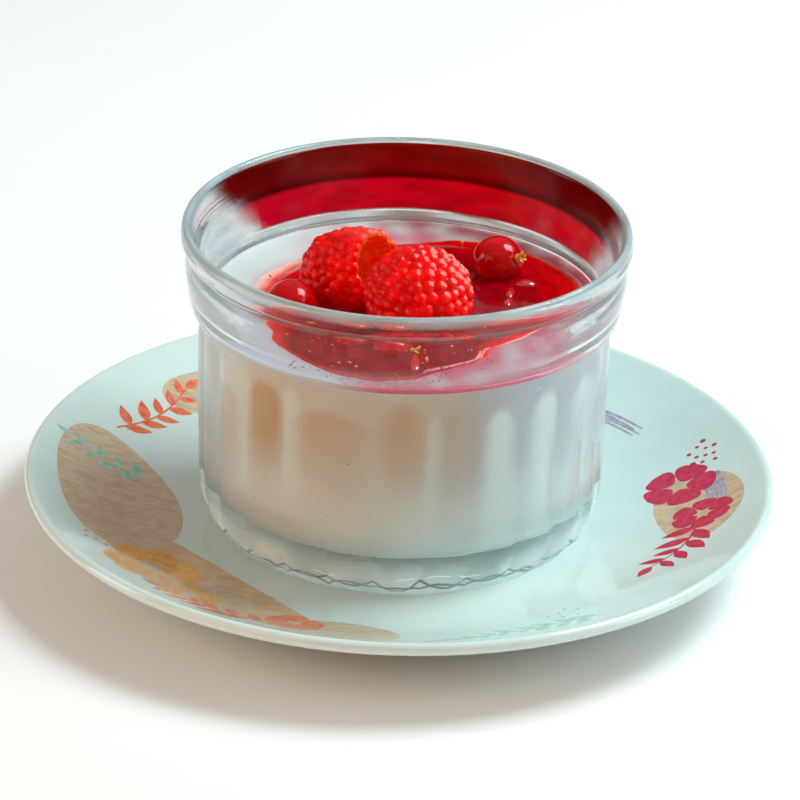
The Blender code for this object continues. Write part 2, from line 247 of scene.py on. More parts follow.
def smooth_path(points, per_span):
    """A Catmull-Rom curve through the points, ends included."""
    path = [Vector(point) for point in points]
    path = [2.0 * path[0] - path[1], *path, 2.0 * path[-1] - path[-2]]
    curve = []
    for a, b, c, d in zip(path, path[1:], path[2:], path[3:]):
        for i in range(per_span):
            t = i / per_span
            point = 2.0 * b + (c - a) * t + (2.0 * a - 5.0 * b + 4.0 * c - d) * t * t
            point += (3.0 * b - a - 3.0 * c + d) * t ** 3
            curve.append(tuple(0.5 * point))
    curve.append(tuple(path[-2]))
    return curve


# ---------------- meshes

def finish_piece(name, vertices, faces, material, slot, replaces=(), smooth=True, **attributes):
    """A piece from vertices in millimetres, riding on the one body."""
    mesh = bpy.data.meshes.new(name)
    mesh.from_pydata([(x * MM, y * MM, z * MM) for x, y, z in vertices], [], faces)
    mesh.update()
    piece = bpy.data.objects.new(name, mesh)
    bpy.context.scene.collection.objects.link(piece)
    mesh.materials.append(material)
    if smooth:
        mesh.shade_smooth()
    for attribute, values in attributes.items():
        set_attribute(piece, attribute, values)
    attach(piece, "root")
    if replaces:
        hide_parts(*replaces)
    return piece


def set_attribute(piece, name, values):
    """A value for each vertex, which the piece's material reads."""
    attribute = piece.data.attributes.new(name, "FLOAT", "POINT")
    attribute.data.foreach_set("value", np.asarray(values, dtype=np.float32))


def turned_mesh(outline, steps, reshape=None):
    """Vertices and faces of a turned shape. The outline runs from the axis outwards, and back under it."""
    ring_points = [polar(radius, math.tau * step / steps, height)
                   for radius, height in outline[1:-1] for step in range(steps)]
    if reshape:
        ring_points = [reshape(*point) for point in ring_points]
    vertices = [(0.0, 0.0, outline[0][1]), *ring_points, (0.0, 0.0, outline[-1][1])]
    last = len(vertices) - 1
    faces = []
    for step in range(steps):
        after = (step + 1) % steps
        faces.append((1 + step, 1 + after, 0))
        for above in range(1, last - steps, steps):
            below = above + steps
            faces.append((below + step, below + after, above + after, above + step))
        faces.append((last - steps + after, last - steps + step, last))
    return vertices, faces


def ball_mesh(centre, outward, radii, segments=14, rings=9):
    """An ellipsoid whose last radius lies along outward."""
    turn = outward.to_track_quat("Z", "Y")
    arc = ellipse_points((0.0, 0.0), (1.0, 1.0), 90.0, -90.0, rings)
    vertices, faces = turned_mesh(arc, segments)
    return [centre + turn @ Vector(np.multiply(radii, vertex)) for vertex in vertices], faces


def placed(matrix, points):
    return [tuple(matrix @ Vector(point)) for point in points]


def placing_of(centre, axis):
    """The move that takes the origin to a centre, and +Z to an axis."""
    return Matrix.Translation(Vector(centre)) @ Vector(axis).to_track_quat("Z", "Y").to_matrix().to_4x4()


def joined(parts):
    """The vertices and faces of several shapes as one."""
    vertices, faces = [], []
    for part_vertices, part_faces in parts:
        start = len(vertices)
        vertices += [tuple(vertex) for vertex in part_vertices]
        faces += [tuple(start + corner for corner in face) for face in part_faces]
    return vertices, faces


def grid_faces(rows, columns, closed=False):
    """Quads between rows of points. A closed grid's last column meets its first."""
    points = columns if closed else columns + 1
    faces = []
    for row in range(rows):
        for column in range(columns):
            a, b = row * points + column, row * points + (column + 1) % points
            faces.append((a, b, b + points, a + points))
    return faces


def thin_body(front, back, faces):
    """A closed body between two sheets of points, from the front's faces. Points on one spot make no side."""
    count = len(front)
    edges = {edge for face in faces for edge in zip(face, face[1:] + face[:1])}
    behind = [tuple(count + corner for corner in reversed(face)) for face in faces]
    sides = [(b, a, count + a, count + b) for a, b in sorted(edges)
             if (b, a) not in edges and math.dist(front[a], front[b]) > TINY]
    return front + back, faces + behind + sides


def finish_grains(name, balls, material, slot):
    """One piece from many small ellipsoids, each with ball_mesh's values."""
    finish_piece(name, *joined([ball_mesh(*ball) for ball in balls]), material, slot)


# ---------------- materials

class Nodes:
    """A node tree, with a short call for each kind of node used here."""

    def __init__(self, tree):
        self.tree = tree

    def put(self, socket, value):
        """Link a socket to another one, or set its own value."""
        if isinstance(value, bpy.types.NodeSocket):
            self.tree.links.new(value, socket)
        else:
            socket.default_value = (*value, 1.0) if socket.type == "RGBA" else value

    def add(self, kind, values=None, **settings):
        node = self.tree.nodes.new(kind)
        for key, value in settings.items():
            setattr(node, key, value)
        for key, value in (values or {}).items():
            self.put(node.inputs[key], value)
        return node

    def place(self, stretch=(1.0, 1.0, 1.0)):
        """Coordinates on the piece, in millimetres."""
        point = self.add("ShaderNodeTexCoord").outputs["Object"]
        scale = tuple(share / MM for share in stretch)
        return self.add("ShaderNodeMapping", {"Vector": point, "Scale": scale}).outputs["Vector"]

    def noise(self, size, detail=3.0, stretch=(1.0, 1.0, 1.0), roughness=0.5):
        """Noise whose features are about size millimetres across."""
        place = self.place(stretch)
        values = {"Vector": place, "Scale": 1.0 / size, "Detail": detail, "Roughness": roughness}
        return self.add("ShaderNodeTexNoise", values).outputs["Fac"]

    def attribute(self, name):
        return self.add("ShaderNodeAttribute", attribute_name=name).outputs["Fac"]

    def ramp(self, factor, *stops):
        """A colour ramp with (place, colour) stops."""
        ramp = self.add("ShaderNodeValToRGB", {"Fac": factor})
        elements = ramp.color_ramp.elements
        while len(elements) < len(stops):
            elements.new(0.5)
        for element, (place, colour) in zip(elements, stops):
            element.position = place
            element.color = (*colour, 1.0)
        return ramp.outputs["Color"]

    def mix(self, factor, first, second, blend="MIX"):
        values = {0: factor, 6: first, 7: second}
        return self.add("ShaderNodeMix", values, data_type="RGBA", blend_type=blend).outputs[2]

    def multiply(self, first, second):
        return self.mix(1.0, first, second, "MULTIPLY")

    def range(self, value, low, high, to_low=0.0, to_high=1.0):
        values = {"Value": value, "From Min": low, "From Max": high, "To Min": to_low, "To Max": to_high}
        return self.add("ShaderNodeMapRange", values).outputs["Result"]

    def math(self, operation, first, *others):
        """An operation on one value, or on several from left to right."""
        for other in others or (0.0,):
            first = self.add("ShaderNodeMath", {0: first, 1: other}, operation=operation).outputs[0]
        return first


class Look(Nodes):
    """A Principled material, which keeps its nodes."""

    def __init__(self, name, **inputs):
        self.material = bpy.data.materials.new(name)
        self.material.use_nodes = True
        super().__init__(self.material.node_tree)
        self.shader = self.tree.nodes["Principled BSDF"]
        self.feed(**inputs)

    def feed(self, **inputs):
        """Set or link the shader's inputs, such as base_color."""
        for key, value in inputs.items():
            self.put(self.shader.inputs[key.replace("_", " ").title().replace("Ior", "IOR")], value)

    def mottle(self, size, low, high, detail=3.0, share=(0.3, 0.7)):
        """Two tones in patches of one size."""
        return self.ramp(self.noise(size, detail), (share[0], low), (share[1], high))

    def uneven_gloss(self, size, low, high):
        self.feed(roughness=self.range(self.noise(size), 0.3, 0.7, low, high))

    def bump(self, depth, size, detail=3.0):
        values = {"Height": self.noise(size, detail), "Distance": depth * MM, "Strength": 1.0}
        self.feed(normal=self.add("ShaderNodeBump", values).outputs["Normal"])


def grey(value):
    return (value, value, value)


def make_mottled(name, size, low, high, **inputs):
    look = Look(name, **inputs)
    look.feed(base_color=look.mottle(size, low, high))
    return look.material


def make_porcelain():
    look = Look("Glazed porcelain", ior=1.5, coat_weight=0.4, coat_roughness=0.04)
    look.feed(base_color=look.mottle(9.0, (0.62, 0.75, 0.72), (0.66, 0.78, 0.755), 2.0))
    look.uneven_gloss(3.0, 0.09, 0.16)
    look.bump(0.03, 6.0, 1.0)
    return look.material


def make_ink(name, dark, light, size=1.6, stretch=(1.0, 1.0, 1.0)):
    """Print under the glaze, uneven like a watercolour wash."""
    look = Look(name, roughness=0.14, coat_weight=0.4, coat_roughness=0.04)
    look.feed(base_color=look.ramp(look.noise(size, 5.0, stretch, 0.65), (0.32, dark), (0.62, light)))
    look.bump(0.02, 6.0, 1.0)
    return look.material


def scalloped_line(look, height, across, level, sag, width):
    """1 along a line round the glass that dips between the ribs, 0 away from it."""
    dip = look.math("MULTIPLY", across, across, sag)
    gap = look.math("ABSOLUTE", look.math("SUBTRACT", look.math("ADD", height, dip), level))
    return look.range(gap, 0.0, width, 1.0, 0.0)


def make_clear_glass():
    """Pressed glass. Lamps and scattered light pass straight through it to the food inside.

    Wavy lines round the heel and under the rim are painted reflections of the dark and bright things that the
    glass's edges mirror; a hazy layer carries painted reflection on the rim and collar, and painted light in
    the thick heel.
    """
    look = Look("Clear pressed glass", base_color=(0.965, 0.99, 0.985), roughness=0.0, ior=1.5,
                transmission_weight=1.0, specular_tint=(0.28, 0.31, 0.31))
    look.bump(0.02, 5.0, 2.0)

    axes = look.add("ShaderNodeSeparateXYZ", {0: look.place()}).outputs
    azimuth = look.math("ARCTAN2", axes["Y"], axes["X"])
    rib = look.math("FRACT", look.math("MULTIPLY", azimuth, RIB_COUNT / math.tau))
    across = look.math("SUBTRACT", look.math("MULTIPLY", rib, 2.0), 1.0)
    wobble = look.range(look.noise(6.0, 0.5), 0.3, 0.7, -0.7, 0.7)
    height = look.math("ADD", axes["Z"], wobble)
    chain = [scalloped_line(look, height, across, level, sag, 0.50) for level, sag in HEEL_LINES]
    under_rim = look.math("MAXIMUM", *(
        scalloped_line(look, axes["Z"], across, level, 0.0, width) for level, width in RIM_LINES))
    dark = look.math("MAXIMUM", *chain, under_rim)
    light = scalloped_line(look, height, across, 11.6, 1.0, 0.7)

    # Painted light in the haze: bright and cool low on the heel, where the thick glass gathers light, and
    # greyer higher up.
    painted_light_colour = look.ramp(look.range(height, 12.0, 30.0), (0.0, (0.84, 0.98, 1.0)), (1.0, (0.44, 0.54, 0.57)))
    painted_haze_colour = look.mix(dark, look.mix(light, painted_light_colour, (0.97, 1.0, 1.0)), (0.06, 0.018, 0.012))
    lines = look.math("MULTIPLY", look.math("MAXIMUM", dark, light), 0.9)
    broken = look.range(look.noise(5.0, 2.0), 0.40, 0.55, 0.15, 1.0)
    at_front = look.range(axes["Y"], -33.0, -22.0, 1.0, 0.08)
    from_left = look.range(axes["X"], -12.0, 4.0, 0.9, 0.2)
    edge = look.math("MULTIPLY", under_rim, from_left)
    seen = look.math("MAXIMUM", look.math("MULTIPLY", broken, at_front), edge)
    share = look.math("MAXIMUM", look.attribute("worn"), look.math("MULTIPLY", lines, seen))

    worn = look.add("ShaderNodeBsdfPrincipled", {"Base Color": painted_haze_colour, "Roughness": 0.22})
    surface = look.add("ShaderNodeMixShader", {0: share, 1: look.shader.outputs[0], 2: worn.outputs[0]})
    clear = look.add("ShaderNodeBsdfTransparent", {"Color": (0.985, 1.0, 0.995)})
    ray = look.add("ShaderNodeLightPath").outputs
    unseen = look.math("MAXIMUM", ray["Is Shadow Ray"], ray["Is Diffuse Ray"])
    whole = look.add("ShaderNodeMixShader", {0: unseen, 1: surface.outputs[0], 2: clear.outputs[0]})
    look.put(look.tree.nodes["Material Output"].inputs["Surface"], whole.outputs[0])
    return look.material


def make_cream():
    look = Look("Cooked cream", subsurface_weight=0.35, subsurface_scale=0.002, ior=1.4,
                subsurface_radius=(1.0, 0.75, 0.55))
    colour = look.mottle(7.0, (0.63, 0.71, 0.71), (0.67, 0.74, 0.74), 2.0)
    # Tints in order: painted cool shade, painted warm light, and sauce stain.
    tints = (("painted_cool_shade", (0.46, 0.49, 0.53)), ("column", (0.47, 0.29, 0.155)), ("stain", (0.52, 0.10, 0.16)))
    for name, tint in tints:
        colour = look.mix(look.attribute(name), colour, tint)
    look.feed(base_color=colour)
    look.uneven_gloss(2.0, 0.26, 0.42)
    look.bump(0.03, 1.2, 4.0)
    return look.material


def make_sauce():
    """Berry sauce: pink and bright where it is thin over the cream, dark where it is deep, and darker at the
    front as painted shade.
    """
    look = Look("Berry coulis", roughness=0.05, ior=1.4, specular_tint=(1.0, 0.6, 0.6))
    colour = look.ramp(
        look.range(look.attribute("depth"), 0.0, 3.0),
        (0.0, (0.92, 0.62, 0.56)),
        (0.06, (0.95, 0.36, 0.30)),
        (0.14, (1.0, 0.05, 0.02)),
        (0.22, (0.95, 0.002, 0.0)),
        (0.42, (0.62, 0.0, 0.004)),
        (0.66, (0.58, 0.0, 0.004)),
        (1.0, (0.28, 0.0, 0.006)),
    )
    pulp = look.mottle(2.8, grey(0.72), grey(1.0), 1.5, (0.35, 0.6))
    look.feed(base_color=look.multiply(colour, pulp))
    look.bump(0.02, 2.2)
    return look.material


def make_raspberry_flesh():
    look = Look("Raspberry flesh", subsurface_weight=0.9, subsurface_scale=0.004, ior=1.4,
                specular_tint=(1.0, 0.40, 0.36), subsurface_radius=(1.0, 0.05, 0.02))
    # Painted shade: the seams between drupelets are a little darker.
    seam_shade = look.ramp(
        look.attribute("swell"), (0.0, (0.90, 0.0, 0.0)), (0.4, (1.0, 0.0, 0.0)), (1.0, (1.0, 0.002, 0.001)))
    # Random depth of colour per drupelet, with painted shade on the drupelets that face -X.
    tone = look.ramp(
        look.attribute("tone"), (0.0, (0.66, 0.4, 0.4)), (0.3, (0.96, 0.85, 0.85)), (1.0, grey(1.0)))
    # Painted highlights: pale pink where the drupelets face the window.
    highlighted = look.mix(look.attribute("painted_highlight"), look.multiply(seam_shade, tone), (1.0, 0.34, 0.28))
    # Painted glow: the hollow's wall is bright orange, as light through the thin flesh makes it.
    hollow = look.mottle(1.3, (0.92, 0.05, 0.004), (1.0, 0.22, 0.016), 2.0, (0.35, 0.65))
    look.feed(base_color=look.mix(look.attribute("inside"), highlighted, hollow))
    look.uneven_gloss(0.9, 0.16, 0.28)
    look.bump(0.008, 0.5, 2.0)
    return look.material


def make_currant_skin():
    """Glossy translucent skin with paler veins that run from end to end."""
    look = Look("Redcurrant skin", roughness=0.06, subsurface_weight=0.7, subsurface_scale=0.003, ior=1.42,
                specular_tint=(1.0, 0.62, 0.64), subsurface_radius=(1.0, 0.03, 0.02))
    veins = look.ramp(look.attribute("vein"), (0.0, (0.62, 0.0, 0.002)), (1.0, (0.80, 0.015, 0.012)))
    look.feed(base_color=look.multiply(veins, look.mottle(3.0, (0.7, 0.6, 0.6), grey(1.0))))
    look.bump(0.03, 1.5)
    return look.material


def make_dried_flower():
    look = Look("Dried flower", roughness=0.6)
    stops = ((0.3, (0.24, 0.07, 0.015)), (0.5, (0.80, 0.34, 0.05)), (0.7, (1.0, 0.62, 0.20)))
    look.feed(base_color=look.ramp(look.noise(0.5, 4.0), *stops))
    look.bump(0.08, 0.2)
    return look.material


def make_wall_film():
    """Sauce drawn up the inside of the glass as a thin film, with painted milky reflections below it and
    painted shade at its sides.
    """
    look = Look("Sauce film", roughness=0.12, ior=1.42, specular_tint=(0.7, 0.35, 0.35))
    colour = look.ramp(
        look.attribute("rise"),
        (0.13, (0.20, 0.0, 0.004)),
        (0.18, (0.82, 0.002, 0.026)),
        (0.52, (0.84, 0.002, 0.026)),
        (0.57, (0.14, 0.0, 0.0)),
        (0.68, (0.34, 0.004, 0.006)),
        (1.0, (0.24, 0.004, 0.002)),
    )
    shade = look.ramp(look.attribute("shade"), (0.0, grey(1.0)), (1.0, grey(0.46)))
    streaks = look.ramp(look.noise(6.0, 4.0, (1.0, 1.0, 2.5)), (0.35, grey(0.70)), (0.65, grey(1.0)))
    red = look.multiply(look.multiply(colour, shade), streaks)
    look.feed(base_color=look.mix(look.attribute("painted_reflection"), red, (0.50, 0.58, 0.61)))
    look.feed(alpha=look.attribute("cover"))
    return look.material


# ---------------- saucer

def saucer_outline():
    """Upper side from the axis out, over the lip, and back under to the axis; and its curved upper part."""
    lip_radius = 0.5 * LIP_THICKNESS
    lip_centre = (SAUCER_RADIUS - lip_radius, SAUCER_EDGE_HEIGHT - lip_radius)
    lip = ellipse_points(lip_centre, (lip_radius, lip_radius), 90.0, -90.0, 16)
    upper = bezier_points((WELL_RADIUS, WELL_HEIGHT), *SAUCER_UPPER_PULLS, lip[0], 40)
    foot_top = (SAUCER_FOOT_RADIUS + SAUCER_FOOT_FLARE, SAUCER_UNDERSIDE)
    lower = bezier_points(lip[-1], *SAUCER_LOWER_PULLS, foot_top, 24)
    inner_foot = SAUCER_FOOT_RADIUS - SAUCER_FOOT_WIDTH
    foot_outer = ellipse_points((SAUCER_FOOT_RADIUS - 0.5, 0.5), (0.6, 0.5), 0.0, -90.0, 5)
    foot_inner = ellipse_points((inner_foot + 0.5, 0.5), (0.5, 0.5), -90.0, -180.0, 5)
    under = [(radius, SAUCER_UNDERSIDE) for radius in (inner_foot - SAUCER_FOOT_FLARE, 30.0, 15.0, 0.0)]
    well = [(radius, WELL_HEIGHT) for radius in (0.0, 13.0, 26.0)]
    return [*well, *upper, *lip[1:], *lower[1:], *foot_outer, *foot_inner, *under], upper


def make_saucer():
    vertices, faces = turned_mesh(saucer_outline()[0], SAUCER_STEPS)
    finish_piece("glazed_saucer", vertices, faces, make_porcelain(), "porcelain", ("saucer",))


# ---------------- print

UPPER_SIDE = np.array([(0.0, WELL_HEIGHT), *saucer_outline()[1]])


def saucer_height(radius):
    return float(np.interp(radius, UPPER_SIDE[:, 0], UPPER_SIDE[:, 1]))


def blade(length, steps, half_width, bend=0.0):
    """An outline along +u and back, whose half width is a function of the share of its length."""
    outline = []
    for side in (1, -1):
        for i in range(steps):
            t = i / steps if side > 0 else 1.0 - i / steps
            outline.append((length * t, bend * length * t * t + side * half_width(t)))
    return outline


def leaf(length, width, bend=0.0, steps=14):
    """A pointed leaf from the origin, its midrib bent sideways."""
    return blade(length, steps, lambda t: 0.5 * width * math.sin(math.pi * t ** 0.8), bend)


def petal(length, width):
    """A rounded petal, narrow at the origin."""
    def half_width(t):
        return 0.5 * width * math.sqrt(max(0.0, 1.0 - (2.0 * t - 1.0) ** 2)) * (0.45 + 0.65 * t)

    return blade(length, 12, half_width)


def disc(radius, squash=1.0, wobble=0.0, lobes=5, phase=0.0, steps=28):
    outline = []
    for i in range(steps):
        angle = math.tau * i / steps
        waves = math.sin(lobes * angle + phase) + 0.5 * math.sin(2 * angle + 1.7 * phase)
        u, v = polar(radius * (1.0 + wobble * waves), angle)
        outline.append((u, squash * v))
    return outline


def band(points, width_start, width_end):
    """A stem or brush stroke along a list of points."""
    path = [Vector(point) for point in smooth_path(points, 6)]
    left, right = [], []
    for i, point in enumerate(path):
        ahead = path[min(i + 1, len(path) - 1)] - path[max(i - 1, 0)]
        across = Vector((-ahead.y, ahead.x)).normalized()
        half = 0.5 * (width_start + (width_end - width_start) * i / (len(path) - 1))
        left.append(tuple(point + across * half))
        right.append(tuple(point - across * half))
    return left + right[::-1]


def moved(outline, place, turn=0.0):
    """An outline turned by degrees and moved to place."""
    cosine, sine = polar(1.0, math.radians(turn))
    return [(place[0] + u * cosine - v * sine, place[1] + u * sine + v * cosine) for u, v in outline]


# The motifs below are lists of outlines round (0, 0). On the saucer, +v points outwards.

def patch(_, *sizes):
    return [disc(*sizes)]


def leaf_patch(_, *sizes):
    return [leaf(*sizes)]


def leaf_spray(rng, length, pairs, leaf_length, curve):
    """A curved stem with pairs of leaves and one at its tip."""
    def stem_point(t):
        return (length * (t - 0.5), curve * length * math.sin(math.pi * t))

    shapes = [band([stem_point(i / 6) for i in range(7)], 0.55, 0.3)]
    for i in range(pairs):
        t = (i + 0.6) / (pairs + 0.4)
        for side in (1, -1):
            size = leaf_length * (1.05 - 0.45 * t) * rng.uniform(0.88, 1.1)
            turn = side * rng.uniform(42.0, 58.0)
            shapes.append(moved(leaf(size, size * 0.42), stem_point(t + 0.03 * side), turn))
    shapes.append(moved(leaf(leaf_length * 0.7, leaf_length * 0.3), stem_point(0.98), -20.0 * curve))
    return shapes


def flower(rng, petals, radius, gap=0.2):
    """Rounded petals round an open middle."""
    shapes = []
    for i in range(petals):
        angle = 360.0 * i / petals + rng.uniform(-4.0, 4.0)
        size = radius * (1.0 - gap) * rng.uniform(0.9, 1.08)
        start = polar(radius * gap, math.radians(angle))
        shapes.append(moved(petal(size, 5.6 * radius / petals), start, angle))
    return shapes


def dots(rng, count, spread, size):
    """Dots in a spiral, as the seeds of a flower lie."""
    shapes = []
    for i in range(count):
        u, v = polar(spread * math.sqrt((i + 0.5) / count), i * GOLDEN_ANGLE)
        shapes.append(moved(disc(size * rng.uniform(0.7, 1.2), steps=10), (1.4 * u, v)))
    return shapes


def brush_stroke(rng, length, width, bristles):
    """Parallel bands of uneven length, as a dry brush leaves them."""
    shapes = []
    for i in range(bristles):
        across = width * ((i + 0.5) / bristles - 0.5)
        start = -0.5 * length * rng.uniform(0.78, 1.0)
        end = 0.5 * length * rng.uniform(0.7, 1.0)
        sway = 0.04 * length
        points = [(start + (end - start) * k / 4, across + sway * math.sin(0.9 * k)) for k in range(5)]
        shapes.append(band(points, width / bristles * 1.15, width / bristles * 0.5))
    return shapes


PRINT = (       # name, height over the glaze, ink, and motifs: shape, its sizes, radius, azimuth, turn
    # Painted shadow of the glass, warm from the room's light, laid on like a wash at the front left.
    ("print_painted_shadow", 0.005, ("Painted shadow wash", (0.58, 0.36, 0.18), (0.70, 0.50, 0.31), 6.0, WASH_GRAIN), (
        (patch, (36.0, 0.26, 0.03, 5, 0.3, 96), 52.0, 222.0, 0.0),
    )),
    ("print_wash", 0.010, ("Beige wash", (0.52, 0.34, 0.20), (0.66, 0.52, 0.37), 3.2, WASH_GRAIN), (
        (patch, (24.0, 0.52, 0.05, 3, 0.4, 72), 56.5, 182.0, 8.0),
        # This patch at the front left is painted shadow as well.
        (patch, (15.0, 0.6, 0.06, 3, 0.9, 60), 57.0, 226.0, 0.0),
        (patch, (13.0, 0.6, 0.06, 3, 1.4, 60), 57.5, 259.0, -4.0),
        (patch, (14.5, 0.6, 0.05, 3, 2.4, 60), 60.0, 0.0, 4.0),
        (leaf_patch, (24.0, 15.0, -0.005, 30), 57.0, 84.0, 20.0),
        (patch, (9.0, 0.62, 0.07, 3, 0.9, 48), 61.0, 133.0, 0.0),
    )),
    ("print_yellow", 0.018, ("Ochre ink", (0.74, 0.22, 0.0), (0.86, 0.46, 0.05)), (
        (flower, (7, 10.0), 57.5, 214.0, 10.0),
        (flower, (6, 6.6), 60.0, 228.5, 0.0),
        (dots, (9, 3.4, 0.5), 64.0, 203.0, 0.0),
        (flower, (7, 6.6), 59.0, 112.0, 0.0),
        (dots, (9, 3.4, 0.5), 56.0, 62.0, 0.0),
    )),
    ("print_coral", 0.020, ("Coral ink", (0.74, 0.06, 0.01), (0.84, 0.22, 0.10)), (
        (leaf_spray, (24.0, 5, 7.6, 0.10), 62.0, 236.0, 4.0),
        (flower, (5, 6.0), 56.5, 250.0, 0.0),
        (leaf_spray, (24.0, 5, 6.4, -0.08), 62.0, 146.0, 0.0),
    )),
    ("print_green", 0.020, ("Sage ink", (0.13, 0.40, 0.27), (0.42, 0.64, 0.52)), (
        (leaf_spray, (34.0, 8, 6.2, -0.06), 63.0, 293.0, 0.0),
        (dots, (8, 3.2, 0.45), 56.0, 306.0, 0.0),
        (leaf_spray, (30.0, 7, 5.6, 0.06), 62.0, 98.0, 0.0),
        (leaf_spray, (18.0, 4, 5.2, 0.08), 60.0, 168.0, 80.0),
    )),
    ("print_crimson", 0.022, ("Crimson ink", (0.46, 0.004, 0.035), (0.66, 0.03, 0.10)), (
        (flower, (5, 7.4), 57.5, 10.5, 0.0),
        (flower, (6, 6.2), 61.0, -3.5, 0.0),
        (leaf_spray, (20.0, 4, 7.6, 0.10), 57.0, -16.0, -14.0),
        (dots, (11, 3.4, 0.55), 65.0, 18.0, 0.0),
        (flower, (5, 5.0), 60.0, 76.0, 0.0),
    )),
    ("print_lilac", 0.018, ("Lilac ink", (0.24, 0.20, 0.34), (0.50, 0.47, 0.58)), (
        (brush_stroke, (20.0, 3.2, 4), 58.0, 43.0, 6.0),
        (brush_stroke, (15.0, 3.4, 5), 62.0, 122.0, -6.0),
        (brush_stroke, (13.0, 4.4, 5), 63.5, 5.0, 4.0),
    )),
)


def printed_shape(outline, lift):
    """A thin closed shape that follows the saucer's upper side."""
    border = [Vector(point) for point in outline]
    columns, rows = (np.arange(min(values) + 0.7, max(values), PRINT_GRID) for values in zip(*border))
    points = border + [Vector((x, y)) for x in columns for y in rows]
    points, _, triangles, *_ = geometry.delaunay_2d_cdt(points, [], [list(range(len(border)))], 1, 1e-5)
    used = sorted({corner for triangle in triangles for corner in triangle})
    index = {old: new for new, old in enumerate(used)}
    faces = []
    for a, b, c in triangles:
        if (points[b] - points[a]).cross(points[c] - points[a]) < 0:
            b, c = c, b
        faces.append((index[a], index[b], index[c]))
    glaze = [(*points[i], saucer_height(points[i].length)) for i in used]
    sheets = [[(x, y, z + height) for x, y, z in glaze] for height in (lift, -PRINT_SINK)]
    return thin_body(*sheets, faces)


def make_print():
    """A generic design in soft colours: washes, leaf sprays, flowers, dots and brush strokes, with painted
    shadow at the front left laid on as washes.
    """
    rng = random.Random(11)
    for name, lift, ink, motifs in PRINT:
        shapes = []
        for motif, sizes, radius, azimuth, turn in motifs:
            place = polar(radius, math.radians(azimuth))
            shapes += [moved(outline, place, azimuth - 90.0 + turn) for outline in motif(rng, *sizes)]
        body = joined([printed_shape(outline, lift) for outline in shapes])
        finish_piece(name, *body, make_ink(*ink), "porcelain", smooth=False)


# ---------------- glass

INNER_SIDE = np.array(smooth_path(INNER_WALL, 12) + [BEAD[1], (42.6, GLASS_CREST - 0.5)])


def inner_radius(height):
    return float(np.interp(height, INNER_SIDE[:, 1], INNER_SIDE[:, 0]))


def rib_share(azimuth, height):
    """1 along the crest of a rib, 0 in the grooves and above the ribs' rounded ends."""
    turn = azimuth / math.tau * RIB_COUNT
    across = 2.0 * (turn - math.floor(turn)) - 1.0
    along = max(0.0, (height - RIB_TOP + RIB_DOME) / RIB_DOME)
    return max(0.0, 1.0 - across * across - along * along)


def press_glass(x, y, z):
    """Press the grooves between the ribs, and leave the slight waviness of pressed glass."""
    radius = math.hypot(x, y)
    outer = radius > 39.7 or z < GLASS_FLOOR - 0.01
    if outer and radius > GLASS_FOOT_RADIUS - 1.0 and z < GLASS_SHOULDER:
        pressed = fade(z, GLASS_HEEL_BOTTOM, GLASS_HEEL_BOTTOM + 1.6)
        depth = RIB_DEPTH * (1.0 - rib_share(math.atan2(y, x), z)) * pressed
        x, y = x * (radius - depth) / radius, y * (radius - depth) / radius
    if radius > 20.0 and z < GLASS_CREST - 1.0 and radius < GLASS_RIM_RADIUS - 0.3:
        wave = 0.04 * waver(x, y, z, 0.09)
        x, y = x * (radius + wave) / radius, y * (radius + wave) / radius
    return x, y, min(z, GLASS_CREST)


def worn_at(x, y, z):
    """How hazy the glass is painted, 0 to 1: a painted reflection of the bright sky on the rim, a painted
    milky sheen on the collar, and painted light that the thick heel gathers.
    """
    uneven = 0.85 + 0.5 * waver(x, y, z, 0.12)
    azimuth = azimuth_of(x, y)
    rim = 0.62 * fade(z, GLASS_CREST - 2.6, GLASS_CREST - 1.2)
    heel = (1.0 - fade(z, 12.0, 18.5)) * (0.88 - 0.30 * near(azimuth, -90.0, 20.0, 55.0))
    outside = fade(math.hypot(x, y), 42.2, 42.5)
    side = 0.46 * fade(abs(x), 24.0, 38.0) * fade(z, 52.6, 54.0) * (1.0 - fade(z, 66.0, 68.0))
    painted_collar_sheen = 0.34 * near(azimuth, -82.0, 20.0, 45.0) * (1.0 - fade(z, 55.0, 58.5)) * fade(z, 53.8, 55.0)
    return min(1.0, max(rim, outside * side, outside * painted_collar_sheen, heel) * uneven)


